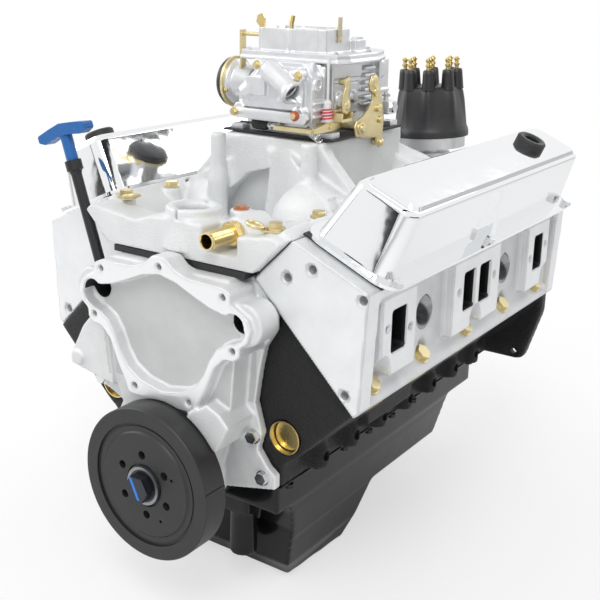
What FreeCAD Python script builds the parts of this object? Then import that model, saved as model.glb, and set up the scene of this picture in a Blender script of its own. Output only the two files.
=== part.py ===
"""A 90 degree V8 engine as separate pieces, in millimetres.

The frame has its origin on the crankshaft axis at the rear face of its flange. +Z is up, -Y is the
front of the engine and +X is the bank with the front cylinder. Each piece is drawn with its station
measured back from the front face of the block, and its placement moves it to the origin.
"""
import FreeCAD, Part
import math
import os
import Sketcher
from FreeCAD import Placement, Rotation, Vector

doc = FreeCAD.newDocument("v8_engine")
sheet = doc.addObject("Spreadsheet::Sheet", "sizes")


class Size:
    """A sheet formula with its value, built by ordinary arithmetic."""

    def __init__(self, text, value):
        self.text = text
        self.value = value

    def __float__(self):
        return float(self.value)

    def __add__(self, other):
        other = size_of(other)
        return Size(f"({self.text} + {other.text})", self.value + other.value)

    def __sub__(self, other):
        other = size_of(other)
        return Size(f"({self.text} - {other.text})", self.value - other.value)

    def __mul__(self, other):
        other = size_of(other)
        return Size(f"({self.text} * {other.text})", self.value * other.value)

    def __truediv__(self, other):
        other = size_of(other)
        return Size(f"({self.text} / {other.text})", self.value / other.value)

    def __radd__(self, other):
        return size_of(other) + self

    def __rsub__(self, other):
        return size_of(other) - self

    def __rmul__(self, other):
        return size_of(other) * self

    def __neg__(self):
        return size_of(0) - self


def size_of(value):
    if isinstance(value, Size):
        return value
    return Size(f"({float(value)!r})", float(value))


def sine(angle):
    angle = size_of(angle)
    return Size(f"sin({angle.text})", math.sin(math.radians(angle.value)))


def cosine(angle):
    angle = size_of(angle)
    return Size(f"cos({angle.text})", math.cos(math.radians(angle.value)))


def root(value):
    value = size_of(value)
    return Size(f"sqrt({value.text})", math.sqrt(value.value))


class Sizes:
    """The driving dimensions, each a named cell of the sheet."""

    def add(self, **values):
        for name, value in values.items():
            row = len(self.__dict__) + 1
            sheet.set(f"A{row}", name)
            sheet.set(f"B{row}", repr(float(value)))
            sheet.setAlias(f"B{row}", name)
            setattr(self, name, Size(f"sizes.{name}", float(value)))


mm = Sizes()
nodes = {}


def bind(thing, path, value):
    """Tie a property to its formula, or set it where it is a plain number."""
    value = size_of(value)
    thing.setExpression(path, value.text)


def put(thing, at=(0, 0, 0), turn=None):
    """Place a thing: turn is an axis and an angle, at is where its own origin goes."""
    axis, angle = turn if turn else (Vector(0, 0, 1), 0)
    spot = Vector(*(float(size_of(value)) for value in at))
    thing.Placement = Placement(spot, Rotation(axis, float(size_of(angle))))
    for letter, value in zip("xyz", at):
        if isinstance(value, Size):
            bind(thing, f".Placement.Base.{letter}", value)
    if isinstance(angle, Size):
        bind(thing, ".Placement.Rotation.Angle", angle)
    return thing


X_AXIS = Vector(1, 0, 0)
Y_AXIS = Vector(0, 1, 0)
Z_AXIS = Vector(0, 0, 1)
ALONG = {"x": (Y_AXIS, 90), "y": (X_AXIS, -90), "z": (Z_AXIS, 0)}
PLANES = {"x": "YZ_Plane", "y": "XZ_Plane", "z": "XY_Plane"}


def block_of(name, low, high):
    """A box between two corners."""
    box = doc.addObject("Part::Box", name)
    for edge, one, two in zip(("Length", "Width", "Height"), low, high):
        bind(box, edge, size_of(two) - one)
    return put(box, low)


def rod_of(name, start, along, radius, length):
    """A cylinder from a point along an axis."""
    rod = doc.addObject("Part::Cylinder", name)
    bind(rod, "Radius", radius)
    bind(rod, "Height", length)
    return put(rod, start, ALONG[along])


def taper_of(name, start, along, first, last, length):
    """A cone from a point along an axis."""
    cone = doc.addObject("Part::Cone", name)
    bind(cone, "Radius1", first)
    bind(cone, "Radius2", last)
    bind(cone, "Height", length)
    return put(cone, start, ALONG[along])


def wedge_of(name, foot, top, low, high):
    """A block tapering upwards between two rectangles, each given as left, right, front, back."""
    wedge = doc.addObject("Part::Wedge", name)
    bind(wedge, "Ymin", foot)
    bind(wedge, "Ymax", top)
    for end, (left, right, front, back) in (("", low), ("2", high)):
        bind(wedge, f"X{end}min", left)
        bind(wedge, f"X{end}max", right)
        bind(wedge, f"Z{end}min", -size_of(back))
        bind(wedge, f"Z{end}max", -size_of(front))
    return put(wedge, turn=(X_AXIS, 90))


def hexagon_of(name, start, along, radius, length):
    """A hexagonal prism, such as a bolt head, by the radius to its corners."""
    prism = doc.addObject("Part::Prism", name)
    prism.Polygon = 6
    bind(prism, "Circumradius", radius)
    bind(prism, "Height", length)
    return put(prism, start, ALONG[along])


def draw(sketch, corners):
    """A closed outline of straight lines whose corners follow the sheet."""
    spots = [Vector(float(size_of(x)), float(size_of(y)), 0) for x, y in corners]
    count = len(spots)
    first = sketch.GeometryCount
    for index in range(count):
        sketch.addGeometry(Part.LineSegment(spots[index], spots[(index + 1) % count]))
    for index in range(count):
        after = first + (index + 1) % count
        sketch.addConstraint(Sketcher.Constraint("Coincident", first + index, 2, after, 1))
    for index, corner in enumerate(corners):
        for kind, value in zip(("DistanceX", "DistanceY"), corner):
            rule = Sketcher.Constraint(kind, -1, 1, first + index, 1, float(size_of(value)))
            number = sketch.addConstraint(rule)
            if isinstance(value, Size):
                sketch.setExpression(f"Constraints[{number}]", value.text)


def sketch_on(body, across, offset, name="outline"):
    """A sketch square to an axis, at an offset along that axis."""
    sketch = body.newObject("Sketcher::SketchObject", name)
    plane = next(part for part in body.Origin.OriginFeatures if part.Role == PLANES[across])
    sketch.AttachmentSupport = [(plane, "")]
    sketch.MapMode = "FlatFace"
    shift = size_of(offset) * (-1 if across == "y" else 1)
    sketch.AttachmentOffset = Placement(Vector(0, 0, float(shift)), Rotation())
    bind(sketch, ".AttachmentOffset.Base.z", shift)
    return sketch


def slab_of(name, across, start, length, *outlines):
    """An outline padded along an axis from a start. Further outlines inside it are holes."""
    body = doc.addObject("PartDesign::Body", name)
    sketch = sketch_on(body, across, start)
    for corners in outlines:
        draw(sketch, corners)
    pad = body.newObject("PartDesign::Pad", "pad")
    pad.Profile = sketch
    bind(pad, "Length", length)
    pad.Reversed = across == "y"
    sketch.Visibility = False
    return body


def turned_of(name, corners, at=(0, 0, 0), along="z"):
    """An outline of radius and height, revolved about an axis through a point."""
    body = doc.addObject("PartDesign::Body", name)
    sketch = sketch_on(body, "y", 0)
    draw(sketch, corners)
    turn = body.newObject("PartDesign::Revolution", "revolution")
    turn.Profile = sketch
    turn.ReferenceAxis = (sketch, ["V_Axis"])
    turn.Angle = 360
    sketch.Visibility = False
    return put(body, at, ALONG[along])


def loft_of(name, across, *sections):
    """Outlines at offsets along an axis, joined by a straight loft."""
    body = doc.addObject("PartDesign::Body", name)
    sketches = []
    for offset, corners in sections:
        sketch = sketch_on(body, across, offset)
        draw(sketch, corners)
        sketch.Visibility = False
        sketches.append(sketch)
    loft = body.newObject("PartDesign::AdditiveLoft", "loft")
    loft.Profile = sketches[0]
    loft.Sections = sketches[1:]
    loft.Ruled = True
    return body


def joined(name, *parts):
    """Several solids fused into one."""
    fuse = doc.addObject("Part::MultiFuse", name)
    fuse.Shapes = list(parts)
    fuse.Refine = True
    return fuse


def bored(name, base, *tools):
    """A solid with others cut away from it."""
    tool = tools[0]
    if len(tools) > 1:
        tool = doc.addObject("Part::Compound", name + "_cutters")
        tool.Links = list(tools)
    cut = doc.addObject("Part::Cut", name)
    cut.Base = base
    cut.Tool = tool
    cut.Refine = True
    return cut


def grouped(name, *parts):
    """Separate solids held in one piece list."""
    group = doc.addObject("Part::Compound", name)
    group.Links = list(parts)
    return group


def copy_of(original, at=(0, 0, 0), turn=None):
    """A linked copy of a piece, placed on its own."""
    link = doc.addObject("App::Link", original.Name + "_copy")
    link.LinkedObject = original
    return put(link, at, turn)


def node(label, thing, at=(0, 0, 0), turn=None):
    """Name a finished piece and move it so that its stations count from the crank flange."""
    here = (at[0], size_of(at[1]) - mm.flange_end, at[2])
    if not thing.Placement.isIdentity():
        thing = grouped(label + "_piece", thing)
    put(thing, here, turn)
    thing.Label = label
    nodes[label] = thing
    return thing


def rounded(body, radius, chosen):
    """A fillet in a body on the edges that a test picks."""
    doc.recompute()
    tip = body.Tip
    names = [f"Edge{number}" for number, edge in enumerate(tip.Shape.Edges, 1) if chosen(edge)]
    fillet = body.newObject("PartDesign::Fillet", "fillet")
    fillet.Base = (tip, names)
    bind(fillet, "Radius", radius)
    return body


def softened(thing, radius, chosen):
    """A fillet on the edges of a solid outside a body."""
    doc.recompute()
    fillet = doc.addObject("Part::Fillet", thing.Name + "_soft")
    fillet.Base = thing
    fillet.Edges = [(number, float(size_of(radius)), float(size_of(radius)))
                    for number, edge in enumerate(thing.Shape.Edges, 1) if chosen(edge)]
    return fillet


def runs_along(axis):
    """A test for straight edges that run along an axis."""
    def test(edge):
        if edge.Curve.TypeId != "Part::GeomLine":
            return False
        return abs(edge.tangentAt(edge.FirstParameter).dot(axis)) > 0.999
    return test

# Main sizes of the engine

mm.add(
    block_length=561, flange_end=567, bank_angle=45, bank_lead=23, deck_height=242, head_gasket=1.2,
    bore=101.6, bore_spacing=113.3, first_cylinder=87.1, stroke=90.9, rod_length=155.5,
    compression_height=40.6, main_radius=35.7, rod_journal_radius=27, cam_height=161,
    running_gap=0.05, cam_journal_radius=25.4, lifter_radius=11.45,
)
CYLINDERS = range(4)
SIDES = (1, -1)
SIDE_NAMES = {1: "left", -1: "right"}


def lead(side):
    """How far a bank sits behind the front one."""
    return size_of(0) if side > 0 else mm.bank_lead


def cylinder_station(side, index):
    return mm.first_cylinder + mm.bore_spacing * index + lead(side)


def throw_station(index):
    return mm.first_cylinder + mm.bank_lead / 2 + mm.bore_spacing * index


def main_station(index):
    return throw_station(index) - mm.bore_spacing / 2


def banked(side):
    return (Y_AXIS, mm.bank_angle * side)


def mirrored(side, corners):
    return [(size_of(across) * side, up) for across, up in corners]


# Engine block: one iron casting with two banks, five main webs and a bellhousing flange

mm.add(
    bank_inner=78, bank_outer=74, bank_foot=66, skirt_half_width=127, skirt_corner_height=30,
    skirt_wall=14, valley_height=193, valley_half_width=75, valley_wall=18, valley_wall_top=232,
    valley_wall_half_width=96, gallery_half_width=17, gallery_foot=124, gallery_top=190,
    web_half_thickness=11, crank_space_radius=96, main_bore_radius=38.2, flange_depth=20,
    rear_seal_radius=60, rear_seal_depth=34, seal_housing_radius=68, seal_housing=36.7, cam_bore_radius=25.45, lifter_bore_radius=11.5,
    plug_radius=20, plug_across=130, plug_height=62, plug_depth=10, side_plug_up=160,
    bell_half_width=190, bell_shoulder_height=96, bell_top=228, bell_hole_radius=5.5,
    bell_low_across=175, bell_low_height=9, bell_mid_across=198, bell_mid_height=96,
    bell_high_across=92, bell_high_height=213, lug_reach=150, lug_start=150, lug_end=262,
    lug_low=26, lug_high=66, lug_hole_radius=4.8, lug_hole_depth=22, lug_hole_height=46,
    port_across=103, port_height=204, block_port_radius=15, block_port_depth=24,
    valve_spread=24, lifter_spread=20.5, head_start=-16, head_length=546, head_bolt_radius=5.5,
    head_bolt_across=57, head_bolt_spread=226.6, head_bolt_depth=30, cap_bolt_across=48,
    cap_bolt_radius=6, cap_bolt_depth=38, spark_station=513, spark_across=51, spark_lean=3.27,
    spark_tube=14, spark_shaft=6, spark_gear=17, spark_gear_half=12,
)


def bank_solid(side):
    outline = [
        (-mm.bank_inner, mm.bank_foot), (-mm.bank_inner, mm.deck_height),
        (mm.bank_outer, mm.deck_height), (mm.bank_outer, mm.bank_foot * 2),
        (mm.bank_foot, mm.bank_foot),
    ]
    solid = slab_of(f"bank_{SIDE_NAMES[side]}", "y", 0, mm.block_length, mirrored(side, outline))
    return put(solid, turn=banked(side))


def gallery_solid(side):
    middle = -mm.cam_height * sine(mm.bank_angle)
    outline = [
        (middle - mm.gallery_half_width, mm.gallery_foot),
        (middle + mm.gallery_half_width, mm.gallery_foot),
        (middle + mm.gallery_half_width, mm.gallery_top),
        (middle - mm.gallery_half_width, mm.gallery_top),
    ]
    solid = slab_of(f"gallery_{SIDE_NAMES[side]}", "y", mm.valley_wall,
                    mm.block_length - mm.valley_wall * 2, mirrored(side, outline))
    return put(solid, turn=banked(side))


def valve_stations(side, index):
    """Stations of a cylinder's exhaust and intake valves: exhausts at the ends and in the middle."""
    outward = -1 if index % 2 == 0 else 1
    middle = cylinder_station(side, index)
    return middle + mm.valve_spread * outward, middle - mm.valve_spread * outward



def lifter_stations(side, index):
    outward = -1 if index % 2 == 0 else 1
    middle = cylinder_station(side, index)
    return middle + mm.lifter_spread * outward, middle - mm.lifter_spread * outward


def head_centre(side):
    return mm.head_start + lead(side) + mm.head_length / 2


def head_bolt_stations(side):
    return [head_centre(side) + mm.head_bolt_spread * (number / 2 - 1) for number in range(5)]


def engine_block():
    centre = slab_of("crankcase", "y", 0, mm.block_length, [
        (-mm.skirt_half_width, 0), (mm.skirt_half_width, 0),
        (mm.skirt_half_width, mm.skirt_corner_height), (mm.valley_half_width, mm.valley_height),
        (-mm.valley_half_width, mm.valley_height), (-mm.skirt_half_width, mm.skirt_corner_height),
    ])
    wall_outline = [
        (-mm.valley_half_width, mm.valley_height - 10), (mm.valley_half_width, mm.valley_height - 10),
        (mm.valley_wall_half_width, mm.valley_wall_top),
        (-mm.valley_wall_half_width, mm.valley_wall_top),
    ]
    front_wall = slab_of("front_wall", "y", 0, mm.valley_wall, wall_outline)
    rear_wall = slab_of("rear_wall", "y", mm.block_length - mm.valley_wall, mm.valley_wall, wall_outline)
    flange = slab_of("bell_flange", "y", mm.block_length - mm.flange_depth, mm.flange_depth, [
        (-mm.bell_half_width, 0), (mm.bell_half_width, 0),
        (mm.bell_mid_across + 16, mm.bell_shoulder_height - 16),
        (mm.bell_mid_across + 16, mm.bell_shoulder_height + 14),
        (mm.bell_high_across + 22, mm.bell_top), (-mm.bell_high_across - 22, mm.bell_top),
        (-mm.bell_mid_across - 16, mm.bell_shoulder_height + 14),
        (-mm.bell_mid_across - 16, mm.bell_shoulder_height - 16),
    ])
    rounded(flange, 10, runs_along(Y_AXIS))
    housing = rod_of("seal_housing", (0, mm.block_length - mm.seal_housing, 0), "y",
                     mm.seal_housing_radius, mm.seal_housing)
    solids = [centre, front_wall, rear_wall, flange, housing]
    for side in SIDES:
        solids.append(bank_solid(side))
        solids.append(gallery_solid(side))
        solids.append(slab_of("mount_lug", "x", mm.skirt_half_width * side, mm.lug_reach * side
                              - mm.skirt_half_width * side, [
            (mm.lug_start, mm.lug_low), (mm.lug_end, mm.lug_low),
            (mm.lug_end, mm.lug_high), (mm.lug_start, mm.lug_high)]))
    casting = joined("block_casting", *solids)
    cutters = [
        rod_of("main_tunnel", (0, -1, 0), "y", mm.main_bore_radius, mm.block_length + 2),
        rod_of("cam_tunnel", (0, -1, mm.cam_height), "y", mm.cam_bore_radius, mm.block_length + 2),
        rod_of("seal_bore", (0, mm.block_length - mm.rear_seal_depth, 0), "y", mm.rear_seal_radius,
               mm.rear_seal_depth + 1),
    ]
    cutters.append(put(grouped("distributor_room", rod_of("distributor_bore", (0, 0, 170), "z",
                                                          mm.spark_tube + 0.1, 150),
                               rod_of("gear_room", (0, 0, mm.cam_height - mm.spark_gear_half - 3),
                                      "z", mm.spark_gear + 2, mm.spark_gear_half * 2 + 6),
                               rod_of("pump_drive_bore", (0, 0, -10), "z", mm.spark_shaft + 0.6, 200)),
                       (mm.spark_across, mm.spark_station, 0), (Y_AXIS, -mm.spark_lean)))
    for index in CYLINDERS:
        start = main_station(index) + mm.web_half_thickness
        length = mm.bore_spacing - mm.web_half_thickness * 2
        cutters.append(rod_of("crank_bay", (0, start, 0), "y", mm.crank_space_radius, length))
        inner = mm.skirt_half_width - mm.skirt_wall
        cutters.append(block_of("pan_opening", (-inner, start, -1),
                                (inner, start + length, mm.skirt_wall)))
    for side in SIDES:
        bank_cutters = []
        for index in CYLINDERS:
            station = cylinder_station(side, index)
            bank_cutters.append(rod_of("bore", (0, station, mm.bank_foot - 30), "z", mm.bore / 2,
                                       mm.deck_height))
            for spot in lifter_stations(side, index):
                middle = -mm.cam_height * sine(mm.bank_angle) * side
                bank_cutters.append(rod_of("lifter_bore", (middle, spot, mm.gallery_foot), "z",
                                           mm.lifter_bore_radius, mm.gallery_top))
        for spot in head_bolt_stations(side):
            bank_cutters.append(rod_of("head_bolt_hole", (mm.head_bolt_across * side, spot,
                                                          mm.deck_height - mm.head_bolt_depth), "z",
                                       mm.head_bolt_radius + 0.1, mm.head_bolt_depth + 1))
        for index in range(3):
            spot = cylinder_station(side, index) + mm.bore_spacing / 2
            face = mm.bank_outer - mm.plug_depth if side > 0 else -mm.bank_outer
            bank_cutters.append(rod_of("side_plug_seat", (face, spot, mm.side_plug_up), "x",
                                       mm.plug_radius, mm.plug_depth))
        cutters.append(put(grouped("bank_cutters", *bank_cutters), turn=banked(side)))
        cutters.append(rod_of("front_plug_seat", (mm.plug_across * side, 0, mm.plug_height), "y",
                              mm.plug_radius, mm.plug_depth))
        cutters.append(rod_of("water_port", (mm.port_across * side, 0, mm.port_height), "y",
                              mm.block_port_radius, mm.block_port_depth))
        for across, height in ((mm.bell_low_across, mm.bell_low_height),
                               (mm.bell_mid_across, mm.bell_mid_height),
                               (mm.bell_high_across, mm.bell_high_height)):
            cutters.append(rod_of("bell_hole", (across * side, mm.block_length - mm.flange_depth - 1,
                                                height), "y", mm.bell_hole_radius,
                                  mm.flange_depth + 2))
        for index in range(5):
            cutters.append(rod_of("cap_bolt_hole", (mm.cap_bolt_across * side, main_station(index), -1),
                                  "z", mm.cap_bolt_radius, mm.cap_bolt_depth))
        for station in (mm.lug_start + 18, mm.lug_end - 18):
            mouth = mm.lug_reach if side < 0 else mm.lug_reach - mm.lug_hole_depth
            start = mouth * side
            cutters.append(rod_of("mount_hole", (start, station, mm.lug_hole_height), "x",
                                  mm.lug_hole_radius, mm.lug_hole_depth))
    return node("engine_block", bored("block", casting, *cutters))


engine_block()


# Freeze plugs: pressed brass cups in the block, with a larger one behind the camshaft

mm.add(plug_wall=1.6, plug_cup_depth=8)


def freeze_plug():
    """A shallow cup, drawn with its mouth towards -Y."""
    radius = mm.plug_radius
    return turned_of("plug_cup", [
        (0, 0), (radius - mm.plug_wall, 0), (radius - mm.plug_wall, -mm.plug_cup_depth),
        (radius, -mm.plug_cup_depth), (radius, mm.plug_wall), (0, mm.plug_wall)])


def freeze_plugs():
    cup = freeze_plug()
    plugs = []
    back = mm.plug_depth - mm.plug_wall
    for side in SIDES:
        plugs.append(copy_of(cup, (mm.plug_across * side, back, mm.plug_height), (X_AXIS, -90)))
        outward = (Y_AXIS, 90 if side < 0 else -90)
        inset = (mm.bank_outer - back) * side
        row = [copy_of(cup, (inset, cylinder_station(side, index) + mm.bore_spacing / 2,
                             mm.side_plug_up), outward) for index in range(3)]
        plugs.append(put(grouped("plug_row", *row), turn=banked(side)))
    rear = rod_of("cam_plug", (0, mm.block_length - 6, mm.cam_height), "y", mm.cam_bore_radius, 5)
    return node("freeze_plugs", grouped("plugs", *plugs, rear))


freeze_plugs()


# Main bearing caps, their bolts and the bearing shells

mm.add(cap_half_width=60, cap_depth=62, cap_shoulder=36, cap_seat=44, bolt_head_radius=10.5,
       bolt_head_height=8)


def main_caps():
    caps = []
    for index in range(5):
        station = main_station(index)
        body = slab_of("cap_body", "y", station - mm.web_half_thickness, mm.web_half_thickness * 2, [
            (-mm.cap_half_width, 0), (-mm.cap_half_width, -mm.cap_seat),
            (-mm.cap_shoulder, -mm.cap_seat), (-mm.cap_shoulder + 6, -mm.cap_depth),
            (mm.cap_shoulder - 6, -mm.cap_depth), (mm.cap_shoulder, -mm.cap_seat),
            (mm.cap_half_width, -mm.cap_seat), (mm.cap_half_width, 0)])
        saddle = rod_of("cap_saddle", (0, station - 20, 0), "y", mm.main_bore_radius, 40)
        holes = [rod_of("cap_hole", (mm.cap_bolt_across * side, station, -mm.cap_depth), "z",
                        mm.cap_bolt_radius, mm.cap_depth + 1) for side in SIDES]
        caps.append(bored("cap", body, saddle, *holes))
    return node("main_bearing_caps", grouped("caps", *caps))


def hex_bolt(name, shank_radius, reach, head_radius, head_height):
    """A bolt with its seat at the origin, head up and shank down."""
    shank = rod_of(name + "_shank", (0, 0, -reach), "z", shank_radius, reach + 1)
    head = hexagon_of(name + "_head", (0, 0, 0), "z", head_radius, head_height)
    return joined(name, shank, head)


def main_cap_bolts():
    bolt = hex_bolt("cap_bolt", mm.cap_bolt_radius - 0.2, mm.cap_seat + mm.cap_bolt_depth - 4,
                    mm.bolt_head_radius, mm.bolt_head_height)
    bolts = [copy_of(bolt, (mm.cap_bolt_across * side, main_station(index), -mm.cap_seat),
                     (X_AXIS, 180)) for index in range(5) for side in SIDES]
    return node("main_cap_bolts", grouped("cap_bolts", *bolts))


def half_shells(name, station, inner, outer, width):
    """Two half rings about the crankshaft axis."""
    shells = []
    for side in SIDES:
        ring = bored(name + "_ring", rod_of(name + "_outer", (0, station - width / 2, 0), "y", outer, width),
                     rod_of(name + "_inner", (0, station - width / 2 - 1, 0), "y", inner, width + 2))
        keep = block_of(name + "_half", (-outer - 1, station - width, 0), (outer + 1, station + width, outer + 1))
        if side < 0:
            keep = block_of(name + "_half", (-outer - 1, station - width, -outer - 1),
                            (outer + 1, station + width, 0))
        half = doc.addObject("Part::Common", name)
        half.Base = ring
        half.Tool = keep
        shells.append(half)
    return shells


def main_bearings():
    shells = []
    for index in range(5):
        shells += half_shells("main_shell", main_station(index), mm.main_radius + mm.running_gap,
                              mm.main_bore_radius, mm.web_half_thickness * 2 - 1)
    return node("main_bearings", grouped("main_shells", *shells))


main_caps()
main_cap_bolts()
main_bearings()


# Crankshaft: five mains, four throws a quarter turn apart, counterweights, snout and rear flange

mm.add(web_thickness=18, counterweight_radius=76, snout_radius=22.2, snout_start=-85,
       flange_radius=56, flange_thickness=12, flange_start=536,
       seal_land_radius=44,
       flange_bolt_circle=88.9, flange_bolt_radius=5.6, pilot_radius=20, pilot_depth=18,
       throw_length=48)
THROW_ANGLES = (45, 135, -45, -135)


def crank_web(name, start, angle):
    """One web with its counterweight, turned so that the throw points along the angle."""
    pin = mm.stroke / 2
    outline = [
        (-32, 6), (-26, pin + 22), (-14, pin + 32), (14, pin + 32), (26, pin + 22), (32, 6),
        (62, -20), (56, -50), (30, -mm.counterweight_radius + 5), (0, -mm.counterweight_radius),
        (-30, -mm.counterweight_radius + 5), (-56, -50), (-62, -20)]
    web = slab_of(name, "y", start, mm.web_thickness, outline)
    return put(web, turn=(Y_AXIS, angle))


def crankshaft():
    solids = [
        rod_of("main_journals", (0, 6, 0), "y", mm.main_radius, mm.flange_start - 6),
        rod_of("snout", (0, mm.snout_start, 0), "y", mm.snout_radius, 6 - mm.snout_start),
        rod_of("seal_land", (0, mm.block_length - mm.rear_seal_depth + 1, 0), "y",
               mm.seal_land_radius, mm.rear_seal_depth),
        rod_of("rear_flange", (0, mm.flange_end - mm.flange_thickness, 0), "y", mm.flange_radius,
               mm.flange_thickness),
    ]
    gaps = []
    for index, angle in enumerate(THROW_ANGLES):
        station = throw_station(index)
        start = station - mm.throw_length / 2
        solids.append(crank_web("front_web", start - mm.web_thickness, angle))
        solids.append(crank_web("rear_web", start + mm.throw_length, angle))
        across = mm.stroke / 2 * sine(angle)
        up = mm.stroke / 2 * cosine(angle)
        solids.append(rod_of("rod_journal", (across, start - 1, up), "y", mm.rod_journal_radius,
                             mm.throw_length + 2))
        gaps.append(rod_of("throw_gap", (0, start, 0), "y", mm.main_radius + 2, mm.throw_length))
    body = bored("crank_bare", joined("crank_core", *solids[:4]), *gaps)
    body = joined("crank_solid", body, *solids[4:])
    holes = [rod_of("pilot_bore", (0, mm.flange_end - mm.pilot_depth, 0), "y", mm.pilot_radius,
                    mm.pilot_depth + 1)]
    for index in range(6):
        across = mm.flange_bolt_circle / 2 * sine(index * 60)
        up = mm.flange_bolt_circle / 2 * cosine(index * 60)
        holes.append(rod_of("flange_hole", (across, mm.flange_end - mm.flange_thickness - 1, up), "y",
                            mm.flange_bolt_radius, mm.flange_thickness + 2))
    return node("crankshaft", bored("crank", body, *holes))


crankshaft()


# Pistons, rings, wrist pins and connecting rods, at the positions that the crankshaft gives them

mm.add(piston_gap=0.3, piston_skirt=30, piston_wall=7, crown_thickness=10, ring_groove=2.4,
       ring_depth=4, first_ring=6, ring_pitch=6, wrist_pin_radius=12.5, wrist_pin_length=74,
       rod_big_radius=37, rod_bore_radius=28.8, rod_width=22.5, rod_small_radius=18,
       rod_beam_depth=12, rod_bolt_across=35)


def throw_offset(side, index):
    """The crank throw across and along a bank's axis, and the wrist pin's height on it."""
    angle = THROW_ANGLES[index] - mm.bank_angle * side
    across = mm.stroke / 2 * sine(angle)
    up = mm.stroke / 2 * cosine(angle)
    pin = up + root(mm.rod_length * mm.rod_length - across * across)
    return across, up, pin


def piston():
    """A piston with its wrist pin axis at the origin, turned in one profile with two grooves."""
    radius = mm.bore / 2 - mm.piston_gap
    crown = mm.compression_height
    groove = radius - mm.ring_depth
    first = crown - mm.first_ring
    second = first - mm.ring_pitch
    body = turned_of("piston_blank", [
        (0, crown), (radius, crown), (radius, first), (groove, first), (groove, first - mm.ring_groove),
        (radius, first - mm.ring_groove), (radius, second), (groove, second),
        (groove, second - mm.ring_groove), (radius, second - mm.ring_groove),
        (radius, -mm.piston_skirt), (radius - mm.piston_wall, -mm.piston_skirt),
        (radius - mm.piston_wall, crown - mm.crown_thickness), (0, crown - mm.crown_thickness)])
    reach = radius - mm.piston_wall + 1
    bosses = rod_of("pin_bosses", (0, -reach, 0), "y", mm.wrist_pin_radius + 7, reach * 2)
    gap = block_of("small_end_gap", (-30, -mm.rod_width / 2 - 1, -30), (30, mm.rod_width / 2 + 1, 30))
    hole = rod_of("pin_hole", (0, -mm.bore, 0), "y", mm.wrist_pin_radius, mm.bore * 2)
    return bored("piston", joined("piston_solid", body, bored("pin_boss", bosses, gap)), hole)


def each_cylinder(original, lift=0):
    """Copies of a piece drawn about the wrist pin, one on each cylinder's axis."""
    copies = []
    for side in SIDES:
        row = []
        for index in CYLINDERS:
            pin = throw_offset(side, index)[2]
            row.append(copy_of(original, (0, cylinder_station(side, index), pin + lift)))
        copies.append(put(grouped(original.Name + "_row", *row), turn=banked(side)))
    return copies


def rings():
    outer = mm.bore / 2 - 0.02
    inner = mm.bore / 2 - mm.piston_gap - mm.ring_depth + 0.2
    solids = []
    for number in range(2):
        top = mm.compression_height - mm.first_ring - mm.ring_pitch * number - 0.2
        bottom = top - mm.ring_groove + 0.4
        solids.append(turned_of("ring", [(inner, bottom), (outer, bottom), (outer, top), (inner, top)]))
    return grouped("ring_set", *solids)


def rod_cutter(name):
    return rod_of(name, (0, -mm.rod_width, 0), "y", mm.rod_bore_radius, mm.rod_width * 2)


def connecting_rod():
    """A rod drawn about its wrist pin, with the big end hanging down."""
    big = -mm.rod_length
    beam = loft_of("rod_beam", "z",
                   (big + mm.rod_big_radius - 8, [(-15, -mm.rod_beam_depth / 2), (15, -mm.rod_beam_depth / 2),
                                                  (15, mm.rod_beam_depth / 2), (-15, mm.rod_beam_depth / 2)]),
                   (-mm.rod_small_radius + 4, [(-11, -mm.rod_beam_depth / 2), (11, -mm.rod_beam_depth / 2),
                                               (11, mm.rod_beam_depth / 2), (-11, mm.rod_beam_depth / 2)]))
    small = rod_of("small_end", (0, -mm.rod_width / 2, 0), "y", mm.rod_small_radius, mm.rod_width)
    large = rod_of("big_end", (0, -mm.rod_width / 2, big), "y", mm.rod_big_radius, mm.rod_width)
    ears = block_of("rod_ears", (-mm.rod_bolt_across - 8, -mm.rod_width / 2, big),
                    (mm.rod_bolt_across + 8, mm.rod_width / 2, big + 18))
    lower = block_of("rod_parting", (-60, -30, big - 60), (60, 30, big))
    pin = rod_of("small_bore", (0, -mm.rod_width, 0), "y", mm.wrist_pin_radius + mm.running_gap,
                 mm.rod_width * 2)
    bore = put(rod_cutter("big_bore"), (0, -mm.rod_width, big), ALONG["y"])
    return bored("rod", joined("rod_solid", beam, small, large, ears), lower, pin, bore)


def rod_cap():
    big = -mm.rod_length
    large = rod_of("cap_ring", (0, -mm.rod_width / 2, big), "y", mm.rod_big_radius, mm.rod_width)
    ears = block_of("cap_ears", (-mm.rod_bolt_across - 8, -mm.rod_width / 2, big - 14),
                    (mm.rod_bolt_across + 8, mm.rod_width / 2, big))
    upper = block_of("cap_parting", (-60, -30, big), (60, 30, big + 60))
    bore = put(rod_cutter("cap_bore"), (0, -mm.rod_width, big), ALONG["y"])
    return bored("rod_cap_solid", joined("rod_cap_body", large, ears), upper, bore)


def swung(original):
    """Copies of a rod piece at each cylinder, leaning to its throw."""
    copies = []
    for side in SIDES:
        row = []
        for index in CYLINDERS:
            across, up, pin = throw_offset(side, index)
            lean = math.degrees(math.asin(across.value / mm.rod_length.value))
            station = throw_station(index) - mm.rod_width / 2 * side - 0.5 * side
            row.append(copy_of(original, (0, station, pin), (Y_AXIS, -lean)))
        copies.append(put(grouped(original.Name + "_row", *row), turn=banked(side)))
    return copies


node("pistons", grouped("piston_group", *each_cylinder(piston())))
node("piston_rings", grouped("ring_group", *each_cylinder(rings())))
wrist_pin = rod_of("wrist_pin", (0, -mm.wrist_pin_length / 2, 0), "y", mm.wrist_pin_radius - 0.02,
                   mm.wrist_pin_length)
wrist_holder = grouped("wrist_pin_holder", wrist_pin)
node("wrist_pins", grouped("wrist_pin_group", *each_cylinder(wrist_holder)))
node("connecting_rods", grouped("rod_group", *swung(connecting_rod())))
node("rod_caps", grouped("rod_cap_group", *swung(rod_cap())))


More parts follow.
